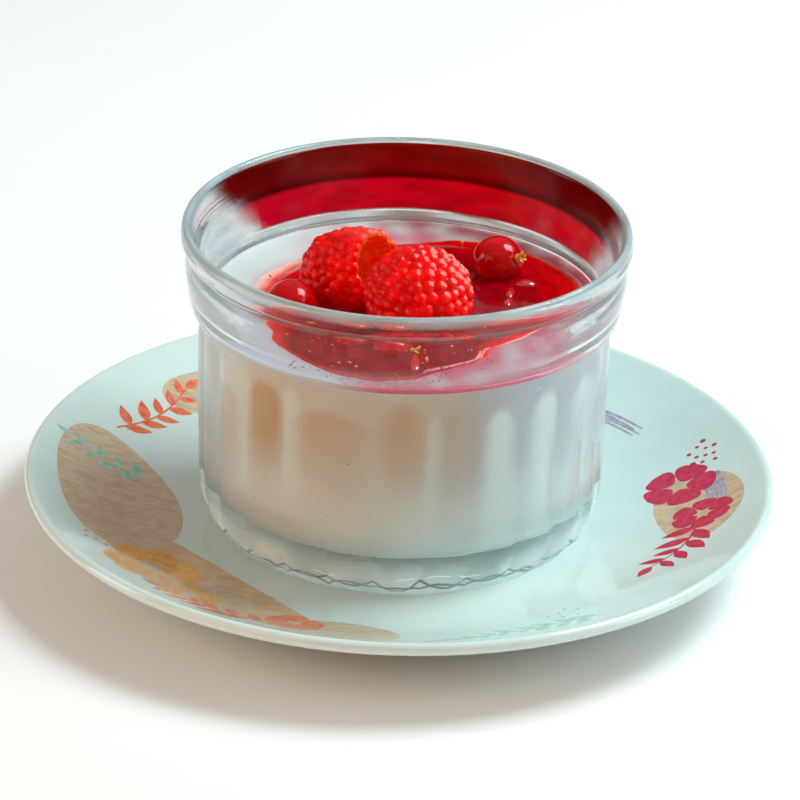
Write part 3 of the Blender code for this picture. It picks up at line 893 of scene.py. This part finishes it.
def make_glass():
    """The glass, from the middle of its floor up inside, over the rim and down to the middle of its foot."""
    floor = [(radius, GLASS_FLOOR) for radius in (0.0, 7.0, 14.0, 21.0)]
    corner = ellipse_points(CORNER_CENTRE, (GLASS_CORNER, GLASS_CORNER), -90.0, 0.0, 14)
    rib_ends = [(GLASS_BODY_RADIUS, RIB_TOP + 1.0 - 0.5 * i) for i in range(11)]
    narrowing = GLASS_BODY_TAPER / (TAPER_TOP - GLASS_HEEL_TOP)
    lower = [(GLASS_BODY_RADIUS - narrowing * (TAPER_TOP - z), z) for z in (40.0, 34.0, 28.0, 22.0)]
    heel_size = (GLASS_BODY_RADIUS - GLASS_BODY_TAPER - GLASS_FOOT_RADIUS, GLASS_HEEL_TOP - GLASS_HEEL_BOTTOM)
    heel = ellipse_points((GLASS_FOOT_RADIUS, GLASS_HEEL_TOP), heel_size, 0.0, -80.0, 20)
    inside = [*floor, *corner[:-1], *smooth_path(INNER_WALL, 6)]
    neck = [*smooth_path(BEAD, 5)[1:], *smooth_path(COLLAR, 4)[1:], *smooth_path(SHOULDER, 3)[1:]]
    foot = smooth_path((heel[-1], *FOOT), 4)[1:]
    outline = [*inside, *neck, *rib_ends, *lower, *heel, *foot, *UNDERSIDE]
    vertices, faces = turned_mesh(outline, RIB_COUNT * RIB_STEPS, press_glass)
    # The glass's painted haze: painted reflection on the rim and collar, painted light in the heel.
    finish_piece("pressed_glass", vertices, faces, make_clear_glass(), "clear_glass", ("glass",),
                 worn=[worn_at(*point) for point in vertices])


# ---------------- cream

def cream_height(x, y):
    """The cream's upper side: a shallow dish, and a slight climb where it meets the glass."""
    radius = math.hypot(x, y)
    share = (radius - DISH_FLOOR_RADIUS) / (DISH_EDGE_RADIUS - DISH_FLOOR_RADIUS)
    dish = DISH_DEPTH * (1.0 - smoothstep(share))
    climb = 0.5 * math.exp(-(inner_radius(CREAM_LEVEL) - radius) / 0.8)
    ripple = 0.12 * waver(x * 0.16, y * 0.16, 3.0) * fade(radius, 30.0, 36.0)
    return CREAM_LEVEL - dish + climb + ripple


def stain_at(x, y, z):
    """Where sauce has coloured the cream: beside the pool, and along the glass at the front right."""
    radius, azimuth = math.hypot(x, y), azimuth_of(x, y)
    bleed = 0.35 * math.exp(-max(0.0, radius - coulis_reach(math.atan2(y, x))) / 1.6)
    patches = min(1.0, max(0.0, 0.72 + 0.8 * waver(x, y, z, 0.22)))
    right, back = near(azimuth, 5.0, 85.0, 112.0), near(azimuth, 80.0, 25.0, 60.0)
    front = near(azimuth, -52.0, 40.0, 60.0)
    wash = max(0.85 * right, 0.66 * back, 0.85 * front) * patches
    along_glass = 0.80 * near(azimuth, -40.0, 42.0, 75.0) * fade(radius, 35.6, 37.6) * (0.6 + 0.4 * patches)
    top_only = fade(z, CREAM_LEVEL - 1.2, CREAM_LEVEL - 0.2)
    return min(1.0, max(0.0, (bleed + wash + along_glass) * top_only))


def band_at(azimuth, z, centre, half_width, top, foot):
    """1 on one upright band with a rounded upper end, seen through a rib of the glass; 0 beside it."""
    across = turn_between(azimuth, centre) / half_width
    if abs(across) > 2.0:
        return 0.0
    rounded = top - 2.2 * across * across
    below_top = 1.0 - fade(z, rounded - 1.2, rounded + 1.2)
    return math.exp(-abs(across) ** 3) * below_top * fade(z, foot - 8.0, foot + 8.0)


def bands_at(azimuth, z, bands):
    return max(strength * band_at(azimuth, z, *place) for *place, strength in bands)


def on_side(x, y, z):
    return math.hypot(x, y) > inner_radius(GLASS_HEEL_TOP) - 4.0 and z < RIB_TOP + 1.0


def painted_warm_light_at(x, y, z):
    """Painted warm light on the cream's side: warm bands behind the ribs, and a warm painted glow at the
    front left and near the ribs' feet, held back where the painted pale bands fall.
    """
    if not on_side(x, y, z):
        return 0.0
    azimuth = azimuth_of(x, y)
    warm = near(azimuth, -106.0, 30.0, 54.0)
    uneven = 0.85 + 0.5 * waver(x * 0.05, y * 0.05, z * 0.03 + 4.0)
    painted_warm_glow = 0.64 * warm * (0.15 + 0.85 * fade(z, 18.0, 42.0)) * (1.0 - 0.7 * bands_at(azimuth, z, PAINTED_PALE_BANDS))
    ends = 0.3 * warm * math.exp(-((z - 19.0) / 2.2) ** 2) * (1.0 - fade(azimuth, -125.0, -115.0))
    return min(1.0, (painted_warm_glow + bands_at(azimuth, z, PAINTED_WARM_BANDS) + ends) * uneven)


def painted_cool_shade_at(x, y, z):
    """Painted cool shade: grey between the painted pale bands at the right, at the left edge, and on the top
    at the front left.
    """
    azimuth = azimuth_of(x, y)
    if z > CREAM_LEVEL - 1.5:
        return near(azimuth, -85.0, 78.0, 98.0) if math.hypot(x, y) > 29.0 else 0.0
    if not on_side(x, y, z):
        return 0.0
    between = 1.0 - bands_at(azimuth, z, PAINTED_PALE_BANDS)
    right = near(azimuth, -32.0, 34.0, 58.0) * between * (0.25 + 0.75 * fade(z, 24.0, 38.0))
    return max(right, 0.8 * near(azimuth, 176.0, 22.0, 44.0))


def make_cream_piece():
    """The filling, its top at CREAM_LEVEL in the outline and then shaped as a dish."""
    def shape_top(x, y, z):
        return x, y, cream_height(x, y) if z >= CREAM_LEVEL else z

    widths = [CREAM_TOP_RADIUS * ((i + 1) / CREAM_TOP_RINGS) for i in range(CREAM_TOP_RINGS)]
    widths += [38.3, 38.5, inner_radius(CREAM_LEVEL) + WALL_REACH]
    top = [(0.0, cream_height(0.0, 0.0)), *((width, CREAM_LEVEL) for width in widths)]
    by_rib_ends = [51.5 - 0.75 * i for i in range(14)]
    heights = (CREAM_LEVEL - 0.3, 52.0, *by_rib_ends, 40.0, 37.0, 34.0, 31.0, 28.0, 25.0)
    side = [(inner_radius(z) + WALL_REACH, z) for z in heights]
    corner_size = GLASS_CORNER + WALL_REACH
    corner = ellipse_points(CORNER_CENTRE, (corner_size, corner_size), 0.0, -90.0, 14)
    bottom = [(radius, GLASS_FLOOR - WALL_REACH) for radius in (20.0, 10.0, 0.0)]
    vertices, faces = turned_mesh([*top, *side, *corner, *bottom], CREAM_STEPS, shape_top)
    # Tints for the cream: sauce stain, painted warm light, and painted cool shade.
    tints = {name: [at(*point) for point in vertices]
             for name, at in (("stain", stain_at), ("column", painted_warm_light_at), ("painted_cool_shade", painted_cool_shade_at))}
    finish_piece("set_cream", vertices, faces, make_cream(), "cream", ("panna_cotta",), **tints)


def make_specks():
    """Vanilla specks that show at the cream's side."""
    rng = random.Random(8)
    material = make_mottled("Vanilla seed", 0.2, (0.010, 0.007, 0.005), (0.05, 0.03, 0.02), roughness=0.6)
    specks = []
    for _ in range(SPECK_COUNT):
        height = rng.uniform(20.0, 50.0)
        azimuth = rng.uniform(0.0, math.tau)
        radius = inner_radius(max(height, INNER_WALL[0][1] + 0.2)) + WALL_REACH - 0.02
        size = rng.uniform(0.10, 0.2)
        place = Vector(polar(radius, azimuth, height))
        specks.append((place, Vector(polar(1.0, azimuth, 0.0)), (size, size * 0.8, 0.05), 8, 6))
    finish_grains("vanilla_specks", specks, material, "cream")


# ---------------- sauce

def coulis_reach(azimuth):
    """The pool's radius, with the azimuth in radians."""
    waves = (size * math.cos(count * (azimuth - math.radians(crest))) for count, size, crest in COULIS_WAVES)
    return COULIS_RADIUS + sum(waves)


def sauce_depth(x, y, inset, soft):
    """How deep the sauce is, inset from its edge, where it thins out over about soft millimetres."""
    full = COULIS_LEVEL - cream_height(x, y)
    edge = min(full, SHALLOW) * (1.0 - math.exp(-inset / soft))
    return edge + max(0.0, full - SHALLOW) * fade(inset, 0.0, 6.0)


def sauce_height(x, y):
    """The sauce's upper side, for what stands in it."""
    inset = max(0.0, coulis_reach(math.atan2(y, x)) - math.hypot(x, y))
    return cream_height(x, y) + sauce_depth(x, y, inset, 0.5)


def berry_gap(x, y):
    """Distance to the nearest berry at the sauce's level, in millimetres."""
    gaps = [math.hypot(x - UPRIGHT_CENTRE[0], y - UPRIGHT_CENTRE[1]) - UPRIGHT_WAIST]
    base = Vector(LYING_CENTRE).to_2d()
    tip = base + Vector(LYING_AXIS).normalized().to_2d() * (LYING_LENGTH - 5.0)
    nearest, share = geometry.intersect_point_line(Vector((x, y)), base, tip)
    nearest = base if share < 0.0 else tip if share > 1.0 else nearest.to_2d()
    gaps.append((Vector((x, y)) - nearest).length - LYING_WAIST)
    for _, centre, radius, _ in CURRANTS:
        foot = math.sqrt(max(0.0, radius ** 2 - (COULIS_LEVEL - centre[2]) ** 2))
        gaps.append(math.hypot(x - centre[0], y - centre[1]) - foot)
    return min(gaps)


def make_coulis_piece():
    """The pool: level in the middle, drawn up to the berries, thinning out to its edge."""
    top, bottom, depths_and_shade = [], [], []
    for ring in range(COULIS_RINGS + 1):
        for step in range(COULIS_STEPS):
            angle = math.tau * step / COULIS_STEPS
            azimuth = math.degrees(angle)
            reach = coulis_reach(angle) + 0.35 * waver(*polar(1.0, angle, 0.0), 9.0)
            radius = (ring / COULIS_RINGS) ** 0.9 * reach
            x, y = polar(radius, angle)
            soft = 0.8 + 3.2 * near(azimuth, 168.0, 15.0, 75.0) + 0.5 * near(azimuth, 8.0, 20.0, 45.0)
            depth = sauce_depth(x, y, reach - radius, soft)
            meniscus = MENISCUS_HEIGHT * math.exp(-max(0.0, berry_gap(x, y)) / MENISCUS_REACH)
            bed = cream_height(x, y)
            top.append((x, y, bed + depth + meniscus))
            bottom.append((x, y, bed - COULIS_SINK))
            salmon = near(azimuth, 168.0, 20.0, 60.0)
            # Painted shade: the colour depth is raised at the front, so the sauce there is painted darker.
            front = near(azimuth, -98.0, 26.0, 56.0) * (0.4 + 0.6 * fade(reach - radius, 0.0, 0.7))
            depths_and_shade.append(depth * (1.0 - 0.6 * salmon) + 3.0 * front)
    body = thin_body(bottom, top, grid_faces(COULIS_RINGS, COULIS_STEPS, closed=True))
    weld(finish_piece("sauce_pool", *body, make_sauce(), "coulis", ("berry_coulis",), depth=depths_and_shade * 2))


def weld(piece):
    """Join the points that meet on the axis and drop the flat faces there."""
    work = bmesh.new()
    work.from_mesh(piece.data)
    bmesh.ops.remove_doubles(work, verts=work.verts, dist=TINY * MM)
    bmesh.ops.recalc_face_normals(work, faces=work.faces)
    work.to_mesh(piece.data)
    work.free()


def film_cover(azimuth, height):
    """How dense the red film is, 0 to 1, at one place on the inner wall."""
    share = (height - CREAM_LEVEL) / (GLASS_CREST - CREAM_LEVEL)
    ragged = 3.0 * waver(height * 0.4, azimuth * 0.1, 1.0)
    left_end = 1.0 - fade(azimuth + ragged + 22.0 * (1.0 - share), 150.0, 164.0)
    right_end = fade(azimuth + ragged - 22.0 * (1.0 - share), -8.0, 14.0)
    foot = CREAM_LEVEL + FILM_FOOT + 0.3 * waver(azimuth * 0.05, 2.0, 5.0)
    return left_end * right_end * fade(height, foot, foot + 0.5)


def painted_reflection_cover(azimuth, height):
    """Painted milky reflections between the cream and the red film, and on the bare wall at the left."""
    patches = 0.6 + 1.1 * waver(azimuth * 0.05, height * 0.35, 9.0)
    strip = 1.0 - fade(height, CREAM_LEVEL + FILM_FOOT - 0.4, CREAM_LEVEL + FILM_FOOT + 0.4)
    at_back = near(azimuth, 80.0, 80.0, 100.0) * strip
    at_left = near(azimuth, 178.0, 22.0, 40.0) * (1.0 - fade(height, CREAM_LEVEL + 6.0, CREAM_LEVEL + 12.0))
    cover = max(0.75 * at_back, 0.55 * at_left, 0.35 * near(azimuth, 2.0, 8.0, 22.0))
    return min(1.0, max(0.0, cover * patches))


def make_film():
    """Sauce film on the inner wall at the back, painted milky reflections below and beside it, and painted
    shade towards its left and at its upper right.
    """
    low, high = CREAM_LEVEL + 0.7, GLASS_CREST - 0.8
    sheets = ([], [])
    tints = {"rise": [], "cover": [], "painted_reflection": [], "shade": []}
    for row in range(FILM_ROWS + 1):
        rise = row / FILM_ROWS
        height = low + (high - low) * rise
        upper = fade(rise, 0.5, 0.6)
        for step in range(FILM_STEPS + 1):
            azimuth = FILM_START + (FILM_END - FILM_START) * step / FILM_STEPS
            for sheet, inward in zip(sheets, FILM_SIDES):
                sheet.append(polar(inner_radius(height) - inward, math.radians(azimuth), height))
            red, milky = film_cover(azimuth, height), painted_reflection_cover(azimuth, height)
            # Painted shade: darker towards the left end, and in the upper part at the right end.
            left_shade = (0.4 + 0.5 * upper) * fade(azimuth, 95.0, 135.0)
            tints["rise"].append(rise)
            tints["cover"].append(max(red, milky))
            tints["painted_reflection"].append(1.0 - red if milky > 0.0 else 0.0)
            tints["shade"].append(max(left_shade, upper * fade(-azimuth, -75.0, -35.0)))
    body = thin_body(*sheets, grid_faces(FILM_ROWS, FILM_STEPS))
    both = {name: values * 2 for name, values in tints.items()}
    finish_piece("wall_film", *body, make_wall_film(), "coulis", **both)


def make_bubbles():
    """A few bubbles that stand in the sauce and catch the window."""
    material = make_mottled("Sauce bubble", 0.6, (0.46, 0.0, 0.004), (0.62, 0.01, 0.008), roughness=0.10,
                            ior=1.8, coat_weight=1.0, coat_roughness=0.10)
    rng = random.Random(31)
    spots = list(BUBBLES)
    for _ in range(SMALL_BUBBLE_COUNT):
        angle = math.radians(rng.uniform(-150.0, -25.0))
        place = polar(coulis_reach(angle) - rng.uniform(0.8, 6.0), angle)
        size = rng.uniform(0.15, 0.42)
        spots.append((*place, size, size))
    bubbles = []
    for x, y, across, along in spots:
        centre = Vector((x, y, sauce_height(x, y) - 0.1 * across))
        bubbles.append((centre, Vector((0.0, 0.0, 1.0)), (across, along, 0.62 * min(across, along)), 20, 12))
    finish_grains("sauce_bubbles", bubbles, material, "coulis")


def make_pulp():
    """Grains of berry pulp at the pool's front edge."""
    material = make_mottled("Berry pulp", 0.7, (0.22, 0.0, 0.02), (0.50, 0.05, 0.06), roughness=0.35)
    rng = random.Random(17)
    grains = []
    for _ in range(GRAIN_COUNT):
        angle = math.radians(-92.0 + min(34.0, max(-34.0, rng.gauss(0.0, 20.0))))
        radius = min(coulis_reach(angle) + abs(rng.gauss(0.0, 1.7)) - 0.6, inner_radius(CREAM_LEVEL) - 0.5)
        x, y = polar(radius, angle)
        size = rng.uniform(0.08, 0.24)
        height = max(sauce_height(x, y), cream_height(x, y)) + 0.1 * size
        lean = Vector((rng.uniform(-0.5, 0.5), rng.uniform(-0.5, 0.5), 1.0)).normalized()
        grains.append((Vector((x, y, height)), lean, (size, size * rng.uniform(0.5, 1.0), size * 0.5), 8, 6))
    finish_grains("pulp_grains", grains, material, "coulis")


def make_flecks(dried):
    """Bits of dried flower that came off the currants."""
    rng = random.Random(23)
    flecks = []
    for x, y in FLECKS:
        lean = Vector((rng.uniform(-1.0, 1.0), rng.uniform(-1.0, 1.0), 0.8)).normalized()
        flecks.append((Vector((x, y, sauce_height(x, y) + 0.15)), lean, (0.32, 0.24, 0.42), 10, 8))
    finish_grains("flower_flecks", flecks, dried, "redcurrant")


# ---------------- berries

def berry_profile(radius, top, bottom, widest, reach_down, steps=200):
    """Points (radius, height) down a berry's side, which would close reach_down below its widest."""
    points = []
    for i in range(steps + 1):
        height = top - (top - bottom) * i / steps
        share = min(1.0, abs(height - widest) / (top - widest if height > widest else reach_down))
        points.append((radius * max(0.0, 1.0 - share ** BERRY_FULLNESS) ** BERRY_ROUNDNESS, height))
    return points


def drupelet_seats(profile, rng, pitch):
    """Where drupelets sit along a profile: (centre, outward direction, size)."""
    side = np.array(profile)
    travelled = np.concatenate(([0.0], np.cumsum([math.dist(a, b) for a, b in zip(profile, profile[1:])])))
    rows = int(travelled[-1] / (pitch * 0.86))
    turn = 0.0
    places, sizes = [], []
    for row in range(rows + 1):
        radius, height = (np.interp(travelled[-1] * row / rows, travelled, side[:, axis]) for axis in (0, 1))
        count = max(1, round(math.tau * radius / pitch))
        turn += math.pi / count
        for i in range(count):
            sizes.append(rng.uniform(0.84, 1.16))
            azimuth = turn + math.tau * i / count + rng.uniform(-0.4, 0.4) * pitch / max(radius, 1.0)
            shift = rng.uniform(-0.5, 0.5)
            places.append(Matrix.Rotation(azimuth, 3, "Z") @ Vector((radius, 0.0, height + shift)))
    return relaxed(np.array(places), np.array(sizes), side, pitch)


def relaxed(places, sizes, side, pitch, rounds=14):
    """Push crowded drupelets apart along the berry's side, so that they pack as grown ones do."""
    reach = sizes * pitch
    wanted = 0.5 * (reach[:, None] + reach[None, :])
    slope = np.gradient(side, axis=0)
    normals = np.stack((-slope[:, 1], slope[:, 0]), axis=1)
    normals /= np.linalg.norm(normals, axis=1)[:, None]
    for _ in range(rounds):
        apart = places[:, None, :] - places[None, :, :]
        distance = np.linalg.norm(apart, axis=2) + np.eye(len(places)) * 100.0
        push = np.clip(wanted - distance, 0.0, None) / distance
        places = places + 0.25 * (apart * push[:, :, None]).sum(axis=1)
        radii = np.hypot(places[:, 0], places[:, 1])
        gaps = (side[None, :, 0] - radii[:, None]) ** 2 + (side[None, :, 1] - places[:, 2][:, None]) ** 2
        nearest = gaps.argmin(axis=1)
        scale = side[nearest, 0] / np.maximum(radii, 0.001)
        places = np.stack((places[:, 0] * scale, places[:, 1] * scale, side[nearest, 1]), axis=1)
    seats = []
    for place, (across, along), size in zip(places, normals[nearest], sizes):
        seats.append((Vector(place), Vector(polar(across, math.atan2(place[1], place[0]), along)), size))
    return seats


def fused(vertices, faces, voxel, smooth_steps):
    """One skin round overlapping closed shapes, all in millimetres."""
    mesh = bpy.data.meshes.new("fusing")
    mesh.from_pydata(vertices, [], faces)
    work = bpy.data.objects.new("fusing", mesh)
    bpy.context.scene.collection.objects.link(work)
    remesh = work.modifiers.new("Fuse", "REMESH")
    remesh.mode = "VOXEL"
    remesh.voxel_size = voxel
    soften = work.modifiers.new("Soften", "SMOOTH")
    soften.factor = 0.5
    soften.iterations = smooth_steps
    bpy.context.view_layer.update()
    result = bpy.data.meshes.new_from_object(work.evaluated_get(bpy.context.evaluated_depsgraph_get()))
    points = [tuple(vertex.co) for vertex in result.vertices]
    polygons = [tuple(polygon.vertices) for polygon in result.polygons]
    bpy.data.objects.remove(work)
    bpy.data.meshes.remove(result)
    return points, polygons


def hollowed(points, cavity):
    """Press the points inside the cavity's outline out to its wall, and mark those on the wall with 1."""
    radii, heights = np.array(cavity).T
    carved, inside = [], []
    for x, y, z in points:
        wall = np.interp(z, heights, radii)
        radius = max(math.hypot(x, y), 0.001)
        stretch = max(1.0, (wall + 0.22 * waver(x, y, z, 0.9)) / radius)
        carved.append((x * stretch, y * stretch, z))
        inside.append(0.0 if z > heights[-1] else 1.0 - fade(radius * stretch, wall + 0.1, wall + 0.7))
    return carved, inside


def make_raspberry(name, node, seed, profile, pitch, drupelet, core, placing, flesh, cavity=(), painted_sheen=0.0):
    """Fuse the drupelets with the core, stand the berry in place, and give each drupelet a random depth of
    colour with painted shade where it faces -X, and painted highlights where it faces the window.
    """
    rng = random.Random(seed)
    seats = drupelet_seats(profile, rng, pitch)
    sink, radii = drupelet
    balls = [ball_mesh(centre - sink * outward, outward, np.multiply(radii, size))
             for centre, outward, size in seats]
    points, polygons = fused(*joined([*balls, core]), BERRY_VOXEL, 2)
    points, inside = hollowed(points, cavity) if cavity else (points, [0.0] * len(points))
    tree = kdtree.KDTree(len(seats))
    for i, (centre, _, _) in enumerate(seats):
        tree.insert(centre, i)
    tree.balance()
    outwards = [placing.to_3x3() @ outward for _, outward, _ in seats]
    # Painted shade: drupelets that face -X are made darker.
    tones = [rng.random() * (1.0 - 0.9 * fade(-outward.x, 0.1, 0.8)) for outward in outwards]
    nearest = [tree.find_n(Vector(point), 2) for point in points]
    piece = finish_piece(name, placed(placing, points), polygons, flesh, "raspberry", (node,), inside=inside,
                         tone=[tones[first[1]] for first, _ in nearest],
                         swell=[smoothstep((second[2] - first[2]) / 1.1) for first, second in nearest])
    # Painted highlights on the side of each drupelet that faces the window, and a painted sheen over that
    # whole side where one is given.
    painted_highlight = []
    for (first, _), vertex in zip(nearest, piece.data.vertices):
        towards = fade(outwards[first[1]].dot(PAINTED_HIGHLIGHT_WAY), 0.35, 0.75)
        painted_highlight.append(max(0.68 * fade(vertex.normal.dot(PAINTED_HIGHLIGHT_WAY), 0.86, 0.95), painted_sheen) * towards)
    set_attribute(piece, "painted_highlight", painted_highlight)


def make_upright_raspberry(flesh):
    radius, top = UPRIGHT_RADIUS - UPRIGHT_INSET, UPRIGHT_UP - UPRIGHT_INSET
    profile = berry_profile(radius, top, -UPRIGHT_DOWN, 0.0, UPRIGHT_DOWN)
    body = [(max(0.0, radius - CORE_INSET), height * 0.96) for radius, height in profile[::10]]
    core = turned_mesh(body, 40)
    make_raspberry("upright_raspberry", "raspberry_upright", 3, profile, DRUPELET_PITCH,
                   (0.55, (1.62, 1.54, 1.55)), core, Matrix.Translation(UPRIGHT_CENTRE), flesh)


def make_lying_raspberry(flesh):
    """A berry on its side, picked off its stalk, so that it is hollow."""
    radius, top = LYING_RADIUS - LYING_INSET, LYING_LENGTH - LYING_INSET
    profile = berry_profile(radius, top, 1.0, LYING_SHOULDER, LYING_BASE_REACH)
    tip = (0.0, top - CORE_INSET)
    shell = [tip, *((max(0.0, radius - CORE_INSET), height) for radius, height in profile[8::8])]
    narrowing = [(LYING_CAVITY_RADIUS * share, height) for share, height in CAVITY_SHARES]
    cavity = [(LYING_CAVITY_RADIUS + 0.3, 0.0), *narrowing, (0.0, LYING_CAVITY_DEPTH)]
    core = turned_mesh(shell + cavity, 48)
    make_raspberry("lying_raspberry", "raspberry_lying", 5, profile, DRUPELET_PITCH * 0.96,
                   (0.5, (1.55, 1.5, 1.45)), core, placing_of(LYING_CENTRE, LYING_AXIS), flesh, cavity, 0.20)


def make_currant(name, centre, radius, calyx_axis, skin, dried, rng):
    """A currant with faint veins, and the dried flower at its end."""
    outline = ellipse_points((0.0, 0.0), (radius, radius), 90.0, -90.0, CURRANT_ROWS)
    phase = rng.uniform(0.0, 6.0)

    def uneven(*point):
        swell = 1.0 + 0.012 * noise.noise(Vector(point) * 0.35 + Vector((phase, 0.0, 0.0)))
        return tuple(swell * value for value in point)

    vertices, faces = turned_mesh(outline, CURRANT_STEPS, uneven)
    veins = []
    for x, y, z in vertices:
        lines = abs(math.sin(5.0 * math.atan2(y, x) + 0.5 * waver(x, y, z, 0.4)))
        towards_ends = fade(abs(z), 0.2 * radius, 0.9 * radius)
        veins.append((1.0 - fade(lines, 0.0, 0.22)) * (0.55 + 0.45 * towards_ends))
    placing = placing_of(centre, calyx_axis)
    finish_piece(name + "_skin", placed(placing, vertices), faces, skin, "redcurrant", (name,), vein=veins)

    parts = [ball_mesh(Vector((0.0, 0.0, radius + 0.1)), Vector((0.0, 0.0, 1.0)), (0.95, 0.9, 0.6), 14, 8)]
    for i in range(6):
        angle = math.tau * i / 6 + rng.uniform(-0.25, 0.25)
        lean = Vector((rng.uniform(0.3, 0.7), rng.uniform(-0.4, 0.4), 1.0)).normalized()
        lean = Matrix.Rotation(angle, 3, "Z") @ lean
        foot = Vector(polar(0.55, angle, radius + 0.75))
        parts.append(ball_mesh(foot, lean, (0.46, 0.24, rng.uniform(0.85, 1.25)), 10, 8))
    points, polygons = joined(parts)
    finish_piece(name + "_flower", placed(placing, points), polygons, dried, "redcurrant")


# ---------------- stage, light and camera

def make_floor():
    bpy.ops.mesh.primitive_plane_add(size=6.0, location=(0.0, 0.0, -0.0002))
    floor = bpy.context.object
    floor.name = "studio_floor"
    floor.data.materials.append(make_mottled(
        "Pale studio floor", 60.0, (0.93, 0.90, 0.89), (0.95, 0.92, 0.91), roughness=0.8))


def make_light():
    """A cool window behind and to the right, and a warm, dimmer room in front and to the left."""
    for name, direction, distance, size, watts, colour in LAMPS:
        data = bpy.data.lights.new(name, "AREA")
        data.shape = "RECTANGLE"
        data.size, data.size_y = size
        data.energy = watts
        data.color = colour
        lamp = bpy.data.objects.new(name, data)
        bpy.context.scene.collection.objects.link(lamp)
        way = Vector(direction).normalized()
        lamp.location = LAMP_TARGET + way * distance
        lamp.rotation_euler = way.to_track_quat("Z", "Y").to_euler()

    world = bpy.data.worlds.new("Studio")
    bpy.context.scene.world = world
    world.use_nodes = True
    nodes = Nodes(world.node_tree)
    way = nodes.add("ShaderNodeTexCoord").outputs["Generated"]
    side = nodes.add("ShaderNodeVectorMath", {0: way, 1: (0.28, 0.20, 0.94)}, operation="DOT_PRODUCT")
    share = nodes.range(side.outputs["Value"], -1.0, 1.0)
    background = nodes.tree.nodes["Background"].inputs
    nodes.put(background["Strength"], 0.6)
    nodes.put(background["Color"], nodes.ramp(
        share, (0.45, (0.34, 0.20, 0.11)), (0.65, (0.36, 0.25, 0.17)), (0.80, (0.52, 0.52, 0.50)),
        (1.0, (0.82, 0.86, 0.88))))


def make_camera():
    """A long lens from the front, a quarter of the way up, with the slight tilt of a held camera."""
    view = (CAMERA_TARGET - CAMERA_PLACE).normalized()
    right = view.cross(Vector((0.0, 0.0, 1.0))).normalized()
    level = Matrix((right, right.cross(view), -view)).transposed()
    data = bpy.data.cameras.new("Camera")
    data.lens = CAMERA_LENS
    data.sensor_width = 36.0
    data.clip_start = 0.01
    camera = bpy.data.objects.new("Camera", data)
    bpy.context.scene.collection.objects.link(camera)
    tilted = level @ Matrix.Rotation(CAMERA_ROLL, 3, "Z")
    camera.matrix_world = Matrix.Translation(CAMERA_PLACE) @ tilted.to_4x4()
    bpy.context.scene.camera = camera
    bpy.context.scene.view_settings.view_transform = "Standard"


make_camera()
make_light()
make_floor()
make_saucer()
make_print()
make_glass()
make_cream_piece()
make_specks()
make_coulis_piece()
make_film()
flesh = make_raspberry_flesh()
make_upright_raspberry(flesh)
make_lying_raspberry(flesh)
skin = make_currant_skin()
dried = make_dried_flower()
for number, currant in enumerate(CURRANTS):
    make_currant(*currant, skin, dried, random.Random(20 + number))
make_bubbles()
make_pulp()
make_flecks(dried)
